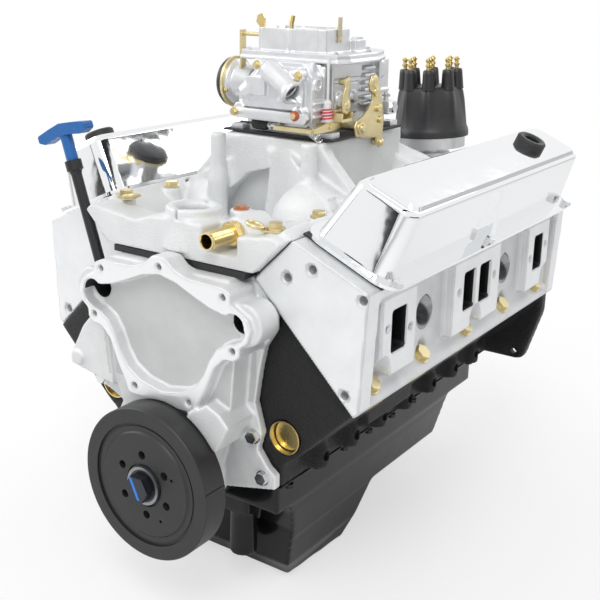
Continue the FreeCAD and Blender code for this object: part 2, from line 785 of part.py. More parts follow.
# Camshaft with sixteen lobes, and the lifters on it

mm.add(cam_base_radius=18.6, cam_lift=6.4, lobe_width=12, lifter_length=46, lifter_foot=26,
       cam_snout_radius=14, cam_start=-10, cam_end=545, pushrod_radius=4,
       cam_gear_radius=24, cam_gear_station=513)


def lobe(station, angle):
    """A base circle and a nose, joined by straight flanks."""
    base = mm.cam_base_radius
    nose = base + mm.cam_lift - 7
    corners = [(-base * 0.7, base * 0.5), (-6, nose + 5), (-2, nose + 7), (2, nose + 7), (6, nose + 5),
               (base * 0.7, base * 0.5), (base * 0.6, -4), (-base * 0.6, -4)]
    flank = slab_of("lobe_nose", "y", station - mm.lobe_width / 2, mm.lobe_width, corners)
    return put(flank, turn=(Y_AXIS, angle))


FIRING_TURN = {(1, 0): 0, (-1, 3): 45, (-1, 1): 90, (1, 1): 135, (-1, 2): 180, (1, 2): 225,
               (1, 3): 270, (-1, 0): 315}


def camshaft():
    solids = [rod_of("cam_core", (0, mm.cam_start, 0), "y", mm.cam_snout_radius,
                     mm.cam_end - mm.cam_start)]
    for index in range(5):
        solids.append(rod_of("cam_journal", (0, main_station(index) - 10, 0), "y",
                             mm.cam_journal_radius, 20))
    for side in SIDES:
        for index in CYLINDERS:
            for event, station in zip((-110, 110), lifter_stations(side, index)):
                turn = mm.bank_angle.value * side - FIRING_TURN[(side, index)] - event / 2 - 180
                solids.append(rod_of("lobe_base", (0, station - mm.lobe_width / 2, 0), "y",
                                     mm.cam_base_radius, mm.lobe_width))
                solids.append(lobe(station, turn))
    gear = rod_of("distributor_drive", (0, mm.cam_gear_station - 9, 0), "y", mm.cam_gear_radius, 18)
    return node("camshaft", joined("cam", *solids, gear), (0, 0, mm.cam_height))


def lifters():
    """Hollow followers, standing clear of the noses in their bores."""
    solids = []
    for side in SIDES:
        middle = -mm.cam_height * sine(mm.bank_angle) * side
        foot = mm.cam_height * cosine(mm.bank_angle) + mm.lifter_foot
        row = []
        for index in CYLINDERS:
            for station in lifter_stations(side, index):
                body = turned_of("lifter", [
                    (0, foot), (mm.lifter_radius - 0.03, foot), (mm.lifter_radius - 0.03, foot + mm.lifter_length),
                    (5, foot + mm.lifter_length), (5, foot + mm.lifter_length - 5), (0, foot + mm.lifter_length - 5)],
                    (middle, station, 0))
                row.append(body)
        solids.append(put(grouped("lifter_row", *row), turn=banked(side)))
    return node("lifters", grouped("lifter_group", *solids))


camshaft()
lifters()


# Timing set: two toothed sprockets and a double chain, in front of the block

mm.add(chain_pitch=9.525, crank_teeth=21, cam_teeth=42, chain_front=-24, chain_width=16,
       cam_sprocket_plate=6, roller_radius=3.1, chain_plate=1.6, chain_half=4.2,
       cam_bolt_radius=5, tooth_height=3.4)


def sprocket(name, teeth, bore_radius, height):
    """A rim at the chain's root circle with one tooth drawn and patterned around it."""
    pitch_radius = mm.chain_pitch / 2 / sine(size_of(180) / teeth)
    body = doc.addObject("PartDesign::Body", name)
    rim = sketch_on(body, "y", mm.chain_front, "rim")
    for radius in (pitch_radius - mm.roller_radius, bore_radius):
        number = rim.addGeometry(Part.Circle(Vector(0, 0, 0), Z_AXIS, float(size_of(radius))))
        rim.addConstraint(Sketcher.Constraint("Coincident", number, 3, -1, 1))
        rule = rim.addConstraint(Sketcher.Constraint("Radius", number, float(size_of(radius))))
        rim.setExpression(f"Constraints[{rule}]", size_of(radius).text)
    pad = body.newObject("PartDesign::Pad", "rim_pad")
    pad.Profile = rim
    pad.Reversed = True
    bind(pad, "Length", mm.chain_width)
    tooth = sketch_on(body, "y", mm.chain_front + 1, "tooth")
    root_radius = pitch_radius - mm.roller_radius - 0.6
    draw(tooth, [(-mm.chain_pitch * 0.22, root_radius), (-1.1, pitch_radius + mm.tooth_height),
                 (1.1, pitch_radius + mm.tooth_height), (mm.chain_pitch * 0.22, root_radius)])
    tooth_pad = body.newObject("PartDesign::Pad", "tooth_pad")
    tooth_pad.Profile = tooth
    tooth_pad.Reversed = True
    bind(tooth_pad, "Length", mm.chain_width - 2)
    doc.recompute()
    ring = body.newObject("PartDesign::PolarPattern", "teeth")
    ring.Originals = [tooth_pad]
    ring.Axis = (tooth, ["N_Axis"])
    ring.Angle = 360
    ring.Occurrences = int(float(teeth))
    bind(ring, "Occurrences", teeth)
    body.Tip = ring
    rim.Visibility = False
    tooth.Visibility = False
    return put(body, (0, 0, height))


def crank_sprocket():
    body = sprocket("crank_sprocket_body", mm.crank_teeth, mm.snout_radius, 0)
    return node("crank_sprocket", body)


def cam_sprocket():
    body = sprocket("cam_sprocket_rim", mm.cam_teeth, 46, 0)
    put(body, turn=(Y_AXIS, size_of(180) / mm.cam_teeth))
    plate = rod_of("cam_plate", (0, mm.chain_front + 5, 0), "y", 47, mm.cam_sprocket_plate)
    hub = rod_of("cam_hub", (0, mm.chain_front + 2, 0), "y", 20, mm.cam_start - mm.chain_front - 2)
    holes = [rod_of("cam_centre", (0, mm.chain_front - 1, 0), "y", mm.cam_bolt_radius + 0.3, 40)]
    for index in range(6):
        holes.append(rod_of("cam_window", (33 * sine(index * 60 + 30), mm.chain_front,
                                           33 * cosine(index * 60 + 30)), "y", 9, 30))
    return node("cam_sprocket", bored("cam_sprocket_body", joined("cam_sprocket_solid", body, plate, hub),
                                      *holes), (0, 0, mm.cam_height))


def cam_bolt():
    head = hexagon_of("cam_bolt_head", (0, mm.chain_front - 6, 0), "y", 11, 7.9)
    shank = rod_of("cam_bolt_shank", (0, mm.chain_front, 0), "y", mm.cam_bolt_radius,
                   mm.cam_start - mm.chain_front - 0.2)
    return node("cam_bolt", joined("cam_bolt_body", head, shank), (0, 0, mm.cam_height))


def chain_loop(name, offset, station, depth):
    """A band round both sprockets at an offset from the pitch line, as tangent arcs and runs."""
    small = float(mm.chain_pitch) / 2 / math.sin(math.pi / float(mm.crank_teeth)) + offset
    large = float(mm.chain_pitch) / 2 / math.sin(math.pi / float(mm.cam_teeth)) + offset
    span = float(mm.cam_height)
    lean = math.asin((large - small) / span)
    side, rise = math.cos(lean), math.sin(lean)
    low = [Vector(sign * small * side, station, -small * rise) for sign in (-1, 1)]
    high = [Vector(sign * large * side, station, span - large * rise) for sign in (1, -1)]
    wire = Part.Wire([
        Part.Arc(low[0], Vector(0, station, -small), low[1]).toShape(),
        Part.LineSegment(low[1], high[0]).toShape(),
        Part.Arc(high[0], Vector(0, station, span + large), high[1]).toShape(),
        Part.LineSegment(high[1], low[0]).toShape()])
    return Part.Face(wire).extrude(Vector(0, depth, 0))


def chain_spots():
    """Points a pitch apart round the loop."""
    small = float(mm.chain_pitch) / 2 / math.sin(math.pi / float(mm.crank_teeth))
    large = float(mm.chain_pitch) / 2 / math.sin(math.pi / float(mm.cam_teeth))
    span = float(mm.cam_height)
    lean = math.asin((large - small) / span)
    run = span * math.cos(lean)
    low_arc = small * (math.pi - 2 * lean)
    high_arc = large * (math.pi + 2 * lean)
    total = low_arc + high_arc + 2 * run
    count = round(total / float(mm.chain_pitch))
    for number in range(count):
        far = (low_arc / 2 + total * number / count) % total
        if far < low_arc:
            angle = math.pi + lean + far / small
            yield small * math.cos(angle), small * math.sin(angle), angle
        elif far < low_arc + run:
            part = far - low_arc
            yield (small * math.cos(lean) + part * math.sin(lean),
                   -small * math.sin(lean) + part * math.cos(lean), 0)
        elif far < low_arc + run + high_arc:
            angle = -lean + (far - low_arc - run) / large
            yield large * math.cos(angle), span + large * math.sin(angle), angle
        else:
            part = far - low_arc - run - high_arc
            yield (-large * math.cos(lean) + part * math.sin(lean),
                   span - large * math.sin(lean) - part * math.cos(lean), 0)


def timing_chain():
    """Side plates in four rows with a roller pin at every pitch."""
    front = float(mm.chain_front)
    width = float(mm.chain_width)
    plate = float(mm.chain_plate)
    half = float(mm.chain_half)
    bands = []
    for station in (front - 2.2, front + width + 2.2 - plate):
        outer = chain_loop("outer", half, station, plate)
        inner = chain_loop("inner", -half, station - 1, plate + 2)
        bands.append(outer.cut(inner))
    pins = []
    for across, up, _ in chain_spots():
        profile = [Vector(across + 2.2 * math.cos(math.radians(60 * turn)), front - 1,
                          up + 2.2 * math.sin(math.radians(60 * turn))) for turn in range(6)]
        face = Part.Face(Part.makePolygon(profile + profile[:1]))
        pins.append(face.extrude(Vector(0, width + 2, 0)))
    chain = doc.addObject("Part::Feature", "timing_chain_shape")
    chain.Shape = bands[0].multiFuse(bands[1:] + pins).removeSplitter()
    return node("timing_chain", chain)


crank_sprocket()
cam_sprocket()
cam_bolt()
timing_chain()


# Vibration damper: iron hub, bonded rubber and inertia ring, held by a washer and a bolt

mm.add(damper_radius=91.2, damper_front=-88.4, damper_width=34, ring_inner=74, rubber_gap=4,
       damper_web=12, damper_hub_radius=34, damper_hub_end=-30, hub_nose=27, hub_seat=-24.3, pulley_circle=73, pulley_hole=5,
       pulley_turn=4, key_pin_circle=90, damper_washer_radius=23, damper_washer=6,
       damper_bolt_head=17, damper_bolt_height=11)


def damper():
    front = mm.damper_front
    back = front + mm.damper_width
    hub = turned_of("hub_blank", [
        (mm.snout_radius, front + 3), (mm.damper_washer_radius + 3, front + 3),
        (mm.damper_washer_radius + 3, front), (mm.ring_inner - mm.rubber_gap - 8, front),
        (mm.ring_inner - mm.rubber_gap - 6, front + 2), (mm.ring_inner - mm.rubber_gap, front + 2),
        (mm.ring_inner - mm.rubber_gap, back), (mm.ring_inner - mm.rubber_gap - 10, back),
        (mm.ring_inner - mm.rubber_gap - 10, front + mm.damper_web),
        (mm.damper_hub_radius, front + mm.damper_web), (mm.damper_hub_radius, mm.damper_hub_end),
        (mm.hub_nose, mm.damper_hub_end), (mm.hub_nose, mm.hub_seat),
        (mm.snout_radius, mm.hub_seat)], (0, 0, 0), "y")
    holes = []
    for index in range(6):
        angle = mm.pulley_turn + index * 60 + 30
        holes.append(rod_of("pulley_hole", (mm.pulley_circle / 2 * cosine(angle), front - 1,
                                            mm.pulley_circle / 2 * sine(angle)), "y", mm.pulley_hole,
                            mm.damper_web + 2))
    for angle in (24, -58):
        holes.append(rod_of("puller_mark", (mm.key_pin_circle / 2 * cosine(angle), front - 1,
                                            mm.key_pin_circle / 2 * sine(angle)), "y", 2, 5))
    node("damper_hub", bored("damper_hub_body", hub, *holes))
    rubber = turned_of("rubber_blank", [
        (mm.ring_inner - mm.rubber_gap, front + 3), (mm.ring_inner, front + 3),
        (mm.ring_inner, back - 1), (mm.ring_inner - mm.rubber_gap, back - 1)], (0, 0, 0), "y")
    node("damper_rubber", rubber)
    ring = turned_of("ring_blank", [
        (mm.ring_inner, front), (mm.damper_radius - 1, front), (mm.damper_radius, front + 1),
        (mm.damper_radius, back - 1), (mm.damper_radius - 1, back), (mm.ring_inner, back)],
        (0, 0, 0), "y")
    mark = block_of("timing_mark", (mm.damper_radius - 1, front - 1, -0.6),
                    (mm.damper_radius + 1, back + 1, 0.6))
    mark = put(grouped("timing_mark_turned", mark), turn=(Y_AXIS, -10))
    node("damper_ring", bored("damper_ring_body", ring, mark))
    washer = rod_of("washer", (0, front + 3 - mm.damper_washer, 0), "y", mm.damper_washer_radius,
                    mm.damper_washer)
    head = hexagon_of("bolt_head", (0, front + 3 - mm.damper_washer - mm.damper_bolt_height, 0), "y",
                      mm.damper_bolt_head, mm.damper_bolt_height)
    node("damper_bolt", joined("damper_bolt_body", washer, head))


damper()


# Cylinder heads: cast aluminium, the same casting on both banks, with machined ends and port pads

mm.add(
    head_inner=104.4, head_top_inner_up=313, head_top_inner=104.4,
    head_top_outer=10.75, head_top_outer_up=349, head_edge=76.7, ledge_height=9, ledge_start=60,
    wall_top=9.2, wall_top_up=321, rail_lip=9, end_thickness=26, pad_face=234, pad_root=214,
    pad_low=146, pad_high=248, end_pad_half=38, middle_pad_half=66, exhaust_out=195.3,
    exhaust_in=22.1, exhaust_width=30, exhaust_height=48, exhaust_centre_height=197,
    exhaust_depth=45, stud_radius=4.2, stud_depth=20, end_stud_low=203, end_stud_spread=25.5,
    end_stud_high=192, middle_stud_height=199, middle_stud_spread=50,
    plug_hole_radius=7, plug_seat_height=168, pocket_out=112, chamber_radius=40, chamber_depth=13,
    cavity_end_wall=30, rail_slope=21.03, intake_port_width=20,
    intake_port_height=46, intake_port_depth=30, intake_port_up=279, intake_port_spread=37,
    head_bolt_head=9.5, intake_bolt_across=118, intake_bolt_radius=4,
)


def head_outline(side):
    return mirrored(side, [
        (-mm.head_inner, mm.deck_height + mm.head_gasket),
        (-mm.head_top_inner, mm.head_top_inner_up), (-mm.head_top_outer, mm.head_top_outer_up),
        (-mm.head_top_outer + mm.rail_lip, mm.head_top_outer_up - mm.rail_lip - 2),
        (-mm.wall_top, mm.wall_top_up), (mm.ledge_start, mm.deck_height + mm.head_gasket + mm.ledge_height),
        (mm.head_edge, mm.deck_height + mm.head_gasket + mm.ledge_height),
        (mm.head_edge, mm.deck_height + mm.head_gasket)])


def end_outline(side):
    return mirrored(side, [
        (-mm.head_inner, mm.deck_height + mm.head_gasket),
        (-mm.head_top_inner, mm.head_top_inner_up), (-mm.head_top_outer, mm.head_top_outer_up),
        (mm.head_edge, mm.deck_height + mm.head_gasket + mm.ledge_height),
        (mm.head_edge, mm.deck_height + mm.head_gasket)])


def exhaust_stations(side):
    """The four exhaust ports: one near each end and a pair in the middle."""
    centre = head_centre(side)
    return [centre - mm.exhaust_out, centre - mm.exhaust_in, centre + mm.exhaust_in,
            centre + mm.exhaust_out]


INTAKE_BOLT_STEPS = (-4, 78, 200, 314, 436, 518)


def intake_port_station(side, index):
    outward = -1 if index % 2 == 0 else 1
    return cylinder_station(side, index) - mm.intake_port_spread * outward


def pad_box(name, side, low, high, near, far):
    """A box on the outer side of a head, from one distance out to another."""
    edges = (near * side, far * side) if side > 0 else (far * side, near * side)
    return block_of(name, (edges[0], low[0], low[1]), (edges[1], high[0], high[1]))


def cylinder_head(side):
    name = SIDE_NAMES[side]
    start = mm.head_start + lead(side)
    end = start + mm.head_length
    core = slab_of(f"head_core_{name}", "y", start, mm.head_length, head_outline(side))
    front = slab_of(f"head_front_{name}", "y", start, mm.end_thickness, end_outline(side))
    rear = slab_of(f"head_rear_{name}", "y", end - mm.end_thickness, mm.end_thickness,
                   end_outline(side))
    solids = [put(joined("head_bank_" + name, core, front, rear), turn=banked(side))]
    centre = head_centre(side)
    for station, half in ((centre - mm.exhaust_out, mm.end_pad_half), (centre, mm.middle_pad_half),
                          (centre + mm.exhaust_out, mm.end_pad_half)):
        solids.append(pad_box("exhaust_pad", side, (station - half, mm.pad_low),
                              (station + half, mm.pad_high), mm.pad_root - 15, mm.pad_face))
    casting = joined("head_casting_" + name, *solids)
    cutters = []
    for station in exhaust_stations(side):
        low = (station - mm.exhaust_width / 2, mm.exhaust_centre_height - mm.exhaust_height / 2)
        high = (station + mm.exhaust_width / 2, mm.exhaust_centre_height + mm.exhaust_height / 2)
        cutters.append(pad_box("exhaust_port", side, low, high, mm.pad_face - mm.exhaust_depth,
                               mm.pad_face + 1))
    studs = []
    for outward in (-1, 1):
        for sign in (-1, 1):
            height = mm.end_stud_low if sign == outward else mm.end_stud_high
            studs.append((centre + mm.exhaust_out * outward + mm.end_stud_spread * sign, height))
        studs.append((centre + mm.middle_stud_spread * outward, mm.middle_stud_height))
    for station, height in studs:
        near = (mm.pad_face - mm.stud_depth) * side if side > 0 else -mm.pad_face
        cutters.append(rod_of("exhaust_stud", (near, station, height), "x", mm.stud_radius,
                              mm.stud_depth))
    bank_cutters = pushrod_holes(side)
    room = valve_space()
    for index in CYLINDERS:
        station = cylinder_station(side, index)
        bank_cutters.append(rod_of("chamber", (0, station, mm.deck_height), "z", mm.chamber_radius,
                                   mm.chamber_depth))
        exhaust, intake = valve_stations(side, index)
        for spot in (exhaust, intake):
            bank_cutters.append(copy_of(room, (mm.valve_foot_across * side, spot, mm.valve_foot_up),
                                        (Y_AXIS, -mm.valve_lean * side)))
        port = intake_port_station(side, index)
        half = mm.intake_port_width / 2
        bank_cutters.append(pad_box("intake_port", -side,
                                    (port - half, mm.intake_port_up - mm.intake_port_height / 2),
                                    (port + half, mm.intake_port_up + mm.intake_port_height / 2),
                                    mm.head_inner - mm.intake_port_depth, mm.head_inner + 10))
    for spot in head_bolt_stations(side):
        bank_cutters.append(rod_of("bolt_hole", (mm.head_bolt_across * side, spot, mm.deck_height),
                                   "z", mm.head_bolt_radius + 0.5, 60))
        bank_cutters.append(rod_of("bolt_scallop", (mm.head_bolt_across * side, spot,
                                                    mm.deck_height + mm.head_gasket + mm.ledge_height),
                                   "z", mm.head_bolt_head + 5, 60))
    cavity = slab_of("rocker_cavity", "y", start + mm.cavity_end_wall,
                     mm.head_length - mm.cavity_end_wall * 2, mirrored(side, [
                         (-95, 320), (-22, 346), (-13.5, 322),
                         (-15, mm.cavity_floor_up + (mm.cavity_floor_across + 15) * -mm.cavity_floor_rise),
                         (mm.cavity_floor_across, mm.cavity_floor_up)]))
    bank_cutters.append(cavity)
    cutters.append(put(grouped("head_bank_cutters_" + name, *bank_cutters), turn=banked(side)))
    for number in (-1, 1):
        spot = centre + mm.pocket_out * number
        pocket = taper_of("plug_pocket", ((mm.pad_root - 6) * side, spot, 188), "x", 5, 19, 24)
        if side < 0:
            pocket = taper_of("plug_pocket", (-mm.pad_root - 18, spot, 188), "x", 19, 5, 24)
        cutters.append(pocket)
    for step in INTAKE_BOLT_STEPS:
        cutters.append(rod_of("intake_bolt_hole", (mm.intake_bolt_across * side, lead(side) + step, 252),
                              "z", mm.intake_bolt_radius + 0.2, 30))
    for index in CYLINDERS:
        spot = cylinder_station(side, index)
        near = 190 if side > 0 else -230
        cutters.append(rod_of("plug_hole", (near, spot, mm.plug_seat_height - 14), "x",
                              mm.plug_hole_radius, 40))
    return node(f"cylinder_head_{name}", bored("head_" + name, casting, *cutters))


# Valves, springs, retainers, rockers, shafts and pushrods, shown shut

mm.add(valve_foot_across=-8, valve_foot_up=251, valve_lean=18, valve_length=112, stem_radius=4.7,
       intake_valve_radius=23, exhaust_valve_radius=19, valve_margin=3, spring_radius=13.5,
       spring_wire=3.4, spring_seat=62, spring_top=100, retainer_height=5, rocker_shaft_radius=10,
       rocker_shaft_across=-71, rocker_shaft_up=361, rocker_width=16, rocker_cup_across=-89,
       rocker_cup_up=350, rocker_shaft_end=40, cavity_floor_up=294.5, cavity_floor_across=-86.6,
       cavity_floor_rise=0.3282, pushrod_hole_radius=5.5)


def valve_space():
    """The room that the head leaves for a valve, its guide and its spring."""
    stem = rod_of("guide", (0, 0, -2), "z", mm.stem_radius + 0.05, mm.valve_length)
    pocket = turned_of("valve_pocket", [
        (0, -12), (mm.intake_valve_radius + 0.5, -12), (mm.intake_valve_radius + 0.5, 3.5),
        (mm.stem_radius + 3.6, 10.5), (mm.stem_radius + 3.6, 21), (0, 21)])
    seat = rod_of("spring_room", (0, 0, mm.spring_seat), "z", mm.spring_radius + 2.5, 70)
    return grouped("valve_room", stem, pocket, seat)


def pushrod_ends(side):
    """The pushrod's ends on a bank: across and up, at the lifter and at the rocker."""
    low_across = -mm.cam_height * sine(mm.bank_angle)
    low_up = mm.cam_height * cosine(mm.bank_angle) + mm.lifter_foot + mm.lifter_length - 5
    return (low_across * side, low_up), (mm.rocker_cup_across * side, mm.rocker_cup_up)


def pushrod_middle(side):
    low, high = pushrod_ends(side)
    return (low[0] + high[0]) / 2, (low[1] + high[1]) / 2


def pushrod_lean(side):
    low, high = pushrod_ends(side)
    return math.degrees(math.atan2(float(high[0] - low[0]), float(high[1] - low[1])))


def pushrod_holes(side):
    """Clear holes round a bank's pushrods, from the valley to the rocker cavity."""
    middle = pushrod_middle(side)
    return [put(grouped("pushrod_way", rod_of("pushrod_hole", (0, 0, -95), "z", mm.pushrod_hole_radius,
                                              190)),
                (middle[0], spot, middle[1]), (Y_AXIS, pushrod_lean(side)))
            for index in CYLINDERS for spot in lifter_stations(side, index)]


def valve(name, radius):
    return turned_of(name, [
        (0, 0), (radius, 0), (radius, mm.valve_margin), (mm.stem_radius + 3, 10), (mm.stem_radius, 20),
        (mm.stem_radius, mm.valve_length), (0, mm.valve_length)])


def valve_row(original, kind, lift=0):
    """Copies of a piece on the valves of one kind, or of both, drawn along the stem."""
    groups = []
    for side in SIDES:
        row = []
        for index in CYLINDERS:
            spots = valve_stations(side, index)
            for number in kind:
                row.append(copy_of(original, (mm.valve_foot_across * side, spots[number],
                                              mm.valve_foot_up), (Y_AXIS, -mm.valve_lean * side)))
        groups.append(put(grouped(original.Name + "_row", *row), turn=banked(side)))
    return grouped(original.Name + "_group", *groups)


def spring_coil():
    """A helical spring as a stack of rings, ground flat at both ends."""
    turns = 5
    pitch = (mm.spring_top - mm.spring_seat - mm.spring_wire) / (turns - 1)
    inner = mm.spring_radius - mm.spring_wire
    solids = []
    for number in range(turns):
        low = mm.spring_seat + pitch * number
        solids.append(turned_of("spring_turn", [(inner, low), (mm.spring_radius, low),
                                                (mm.spring_radius, low + mm.spring_wire),
                                                (inner, low + mm.spring_wire)]))
    tube = bored("spring_tube", rod_of("spring_outer", (0, 0, mm.spring_seat), "z",
                                       mm.spring_radius - 0.8, mm.spring_top - mm.spring_seat),
                 rod_of("spring_inner", (0, 0, mm.spring_seat - 1), "z", inner + 0.6,
                        mm.spring_top - mm.spring_seat + 2))
    return joined("spring", tube, *solids)


def rocker(side):
    """A stamped rocker arm about its shaft, with a cup for the pushrod and a pad for the valve."""
    cup_across = mm.rocker_cup_across - mm.rocker_shaft_across
    cup_up = mm.rocker_cup_up - mm.rocker_shaft_up
    outline = [
        (cup_across - 7, cup_up + 0.6), (cup_across + 7, cup_up + 0.6), (-6, -13.5), (6, -13.5),
        (10, -11), (22, -1.6), (34, -1.6), (34, 4), (9, 13.5), (-9, 13.5), (cup_across - 7, 1)]
    body = slab_of("rocker_body", "y", -mm.rocker_width / 2, mm.rocker_width, mirrored(side, outline))
    hole = rod_of("rocker_bore", (0, -20, 0), "y", mm.rocker_shaft_radius + mm.running_gap, 40)
    return bored("rocker", body, hole)


def rocker_arms():
    groups = []
    for side in SIDES:
        original = rocker(side)
        row = []
        for index in CYLINDERS:
            for valve_spot, lifter_spot in zip(valve_stations(side, index),
                                               lifter_stations(side, index)):
                row.append(copy_of(original, (mm.rocker_shaft_across * side,
                                              (valve_spot + lifter_spot) / 2, mm.rocker_shaft_up)))
        groups.append(put(grouped("rocker_row", *row), turn=banked(side)))
    return node("rocker_arms", grouped("rocker_group", *groups))


def rocker_shafts():
    """Two hollow shafts on pedestals that stand on the floor of the rocker cavity."""
    shafts = []
    left = mm.rocker_shaft_across - 9
    right = mm.rocker_shaft_across + 9
    floor = mm.cavity_floor_up - mm.cavity_floor_across * mm.cavity_floor_rise + 0.1
    pedestal = [(left, floor + left * mm.cavity_floor_rise), (right, floor + right
                                                              * mm.cavity_floor_rise),
                (right, mm.rocker_shaft_up), (left, mm.rocker_shaft_up)]
    for side in SIDES:
        start = mm.head_start + lead(side) + mm.rocker_shaft_end
        length = mm.head_length - mm.rocker_shaft_end * 2
        across = mm.rocker_shaft_across * side
        solids = [rod_of("shaft", (across, start, mm.rocker_shaft_up), "y", mm.rocker_shaft_radius,
                         length)]
        for number in range(5):
            spot = head_centre(side) + mm.head_bolt_spread * 0.96 * (number / 2 - 1)
            solids.append(slab_of("pedestal", "y", spot - 8, 16, mirrored(side, pedestal)))
        shafts.append(put(joined("rocker_shaft", *solids), turn=banked(side)))
    return node("rocker_shafts", grouped("rocker_shaft_group", *shafts))


def pushrods():
    groups = []
    for side in SIDES:
        low, high = pushrod_ends(side)
        length = math.hypot(float(high[0] - low[0]), float(high[1] - low[1])) - 1.5
        row = []
        for index in CYLINDERS:
            for spot in lifter_stations(side, index):
                original = rod_of("pushrod", (0, 0, 0), "z", mm.pushrod_radius, length)
                row.append(put(original, (low[0], spot, low[1] + 0.9), (Y_AXIS, pushrod_lean(side))))
        groups.append(put(grouped("pushrod_row", *row), turn=banked(side)))
    return node("pushrods", grouped("pushrod_group", *groups))


for each_side in SIDES:
    cylinder_head(each_side)
node("intake_valves", valve_row(valve("intake_valve", mm.intake_valve_radius), (1,)))
node("exhaust_valves", valve_row(valve("exhaust_valve", mm.exhaust_valve_radius), (0,)))
node("valve_springs", valve_row(spring_coil(), (0, 1)))
node("valve_retainers", valve_row(bored(
    "retainer", turned_of("retainer_body", [(0, mm.spring_top + 0.2), (mm.spring_radius, mm.spring_top + 0.2),
                                            (mm.spring_radius - 2, mm.spring_top + mm.retainer_height),
                                            (0, mm.spring_top + mm.retainer_height)]),
    rod_of("retainer_hole", (0, 0, mm.spring_top - 5), "z", mm.stem_radius, 20)), (0, 1)))
rocker_arms()
rocker_shafts()
pushrods()


# Head gaskets and head bolts

def head_gaskets():
    gaskets = []
    for side in SIDES:
        start = mm.head_start + lead(side) + 24
        edges = (-mm.bank_inner, mm.bank_outer) if side > 0 else (-mm.bank_outer, mm.bank_inner)
        sheet_box = block_of("gasket_sheet", (edges[0], start, mm.deck_height),
                             (edges[1], start + mm.head_length - 30, mm.deck_height + mm.head_gasket))
        bores = [rod_of("gasket_bore", (0, cylinder_station(side, index), mm.deck_height - 1), "z",
                        mm.bore / 2 + 1, 4) for index in CYLINDERS]
        holes = [rod_of("gasket_hole", (mm.head_bolt_across * side, spot, mm.deck_height - 1), "z",
                        mm.head_bolt_radius + 0.5, 4) for spot in head_bolt_stations(side)]
        gaskets.append(put(bored("gasket", sheet_box, *bores, *holes), turn=banked(side)))
    return gaskets


def head_bolts():
    seat = mm.deck_height + mm.head_gasket + mm.ledge_height
    bolt = hex_bolt("head_bolt", mm.head_bolt_radius, mm.ledge_height + mm.head_gasket
                    + mm.head_bolt_depth - 2,
                    mm.head_bolt_head, 8)
    washer = rod_of("head_washer", (0, 0, 0), "z", mm.head_bolt_head + 2, 1.8)
    bolt = joined("head_bolt_washer", bolt, washer)
    groups = []
    for side in SIDES:
        row = [copy_of(bolt, (mm.head_bolt_across * side, spot, seat))
               for spot in head_bolt_stations(side)]
        groups.append(put(grouped("head_bolt_row", *row), turn=banked(side)))
    return node("head_bolts", grouped("head_bolt_group", *groups))


head_bolts()


# Valve covers: polished pressings with a rolled flange, tapered walls and a raised top panel

mm.add(cover_start=4, cover_length=516, cover_flange_in=-6, cover_flange_out=114, cover_flange=4,
       cover_gasket=2.4, cover_corner=26, cover_low_in=3, cover_low_out=100, cover_top_in=17,
       cover_top_out=93, cover_height=78, cover_end_taper=13, cover_end_inset=9, cover_wall=1.8,
       cover_edge_round=7, panel_in=27, panel_out=86, panel_height=4, panel_end_inset=34,
       grommet_station=398, grommet_station_right=62, grommet_across=52, grommet_hole_radius=15.5,
       grommet_radius=19, grommet_bore=9.5, grommet_height=10, cover_bolt_out=108.2,
       cover_bolt_radius=3.2, cover_seat_radius=7.4, rib_half_width=7)


def cover_place(side):
    """The rail's inner edge on a bank, and the turn of the rail's plane."""
    across = -mm.head_top_inner
    up = mm.head_top_inner_up
    here = across * cosine(mm.bank_angle) + up * sine(mm.bank_angle)
    high = up * cosine(mm.bank_angle) - across * sine(mm.bank_angle)
    return (here * side, mm.cover_start + lead(side), high), (Y_AXIS, (mm.bank_angle - mm.rail_slope) * side)


def level_box(side, left, right, front, back):
    """A rectangle seen from above, mirrored on the right bank."""
    return [(left * side, front), (right * side, front), (right * side, back), (left * side, back)]


def level_sides(side, left, right, front, back):
    """The same rectangle as its least and greatest sizes."""
    edges = (left, right) if side > 0 else (-size_of(right), -size_of(left))
    return (*edges, front, back)


def is_slanted(edge):
    """A test for the leaning corner edges of a tapered block."""
    run = edge.Vertexes[-1].Point - edge.Vertexes[0].Point
    return abs(run.z) > run.Length / 2


def is_top(height):
    """A test for edges at a height or above."""
    def test(edge):
        return edge.BoundBox.ZMin > float(height) - 0.1
    return test


def cover_shell(name, side, shrink, foot):
    """The tapered body of a cover, or its inside when it is shrunk by the wall."""
    inset = mm.cover_end_inset + shrink
    back = mm.cover_length - inset
    low = level_sides(side, mm.cover_low_in + shrink, mm.cover_low_out - shrink, inset, back)
    high = level_sides(side, mm.cover_top_in + shrink, mm.cover_top_out - shrink,
                       inset + mm.cover_end_taper, back - mm.cover_end_taper)
    shell = wedge_of(name, foot, mm.cover_height - shrink, low, high)
    shell = softened(shell, mm.cover_corner - 8 - shrink, is_slanted)
    return softened(shell, mm.cover_edge_round - shrink, is_top(mm.cover_height - shrink))


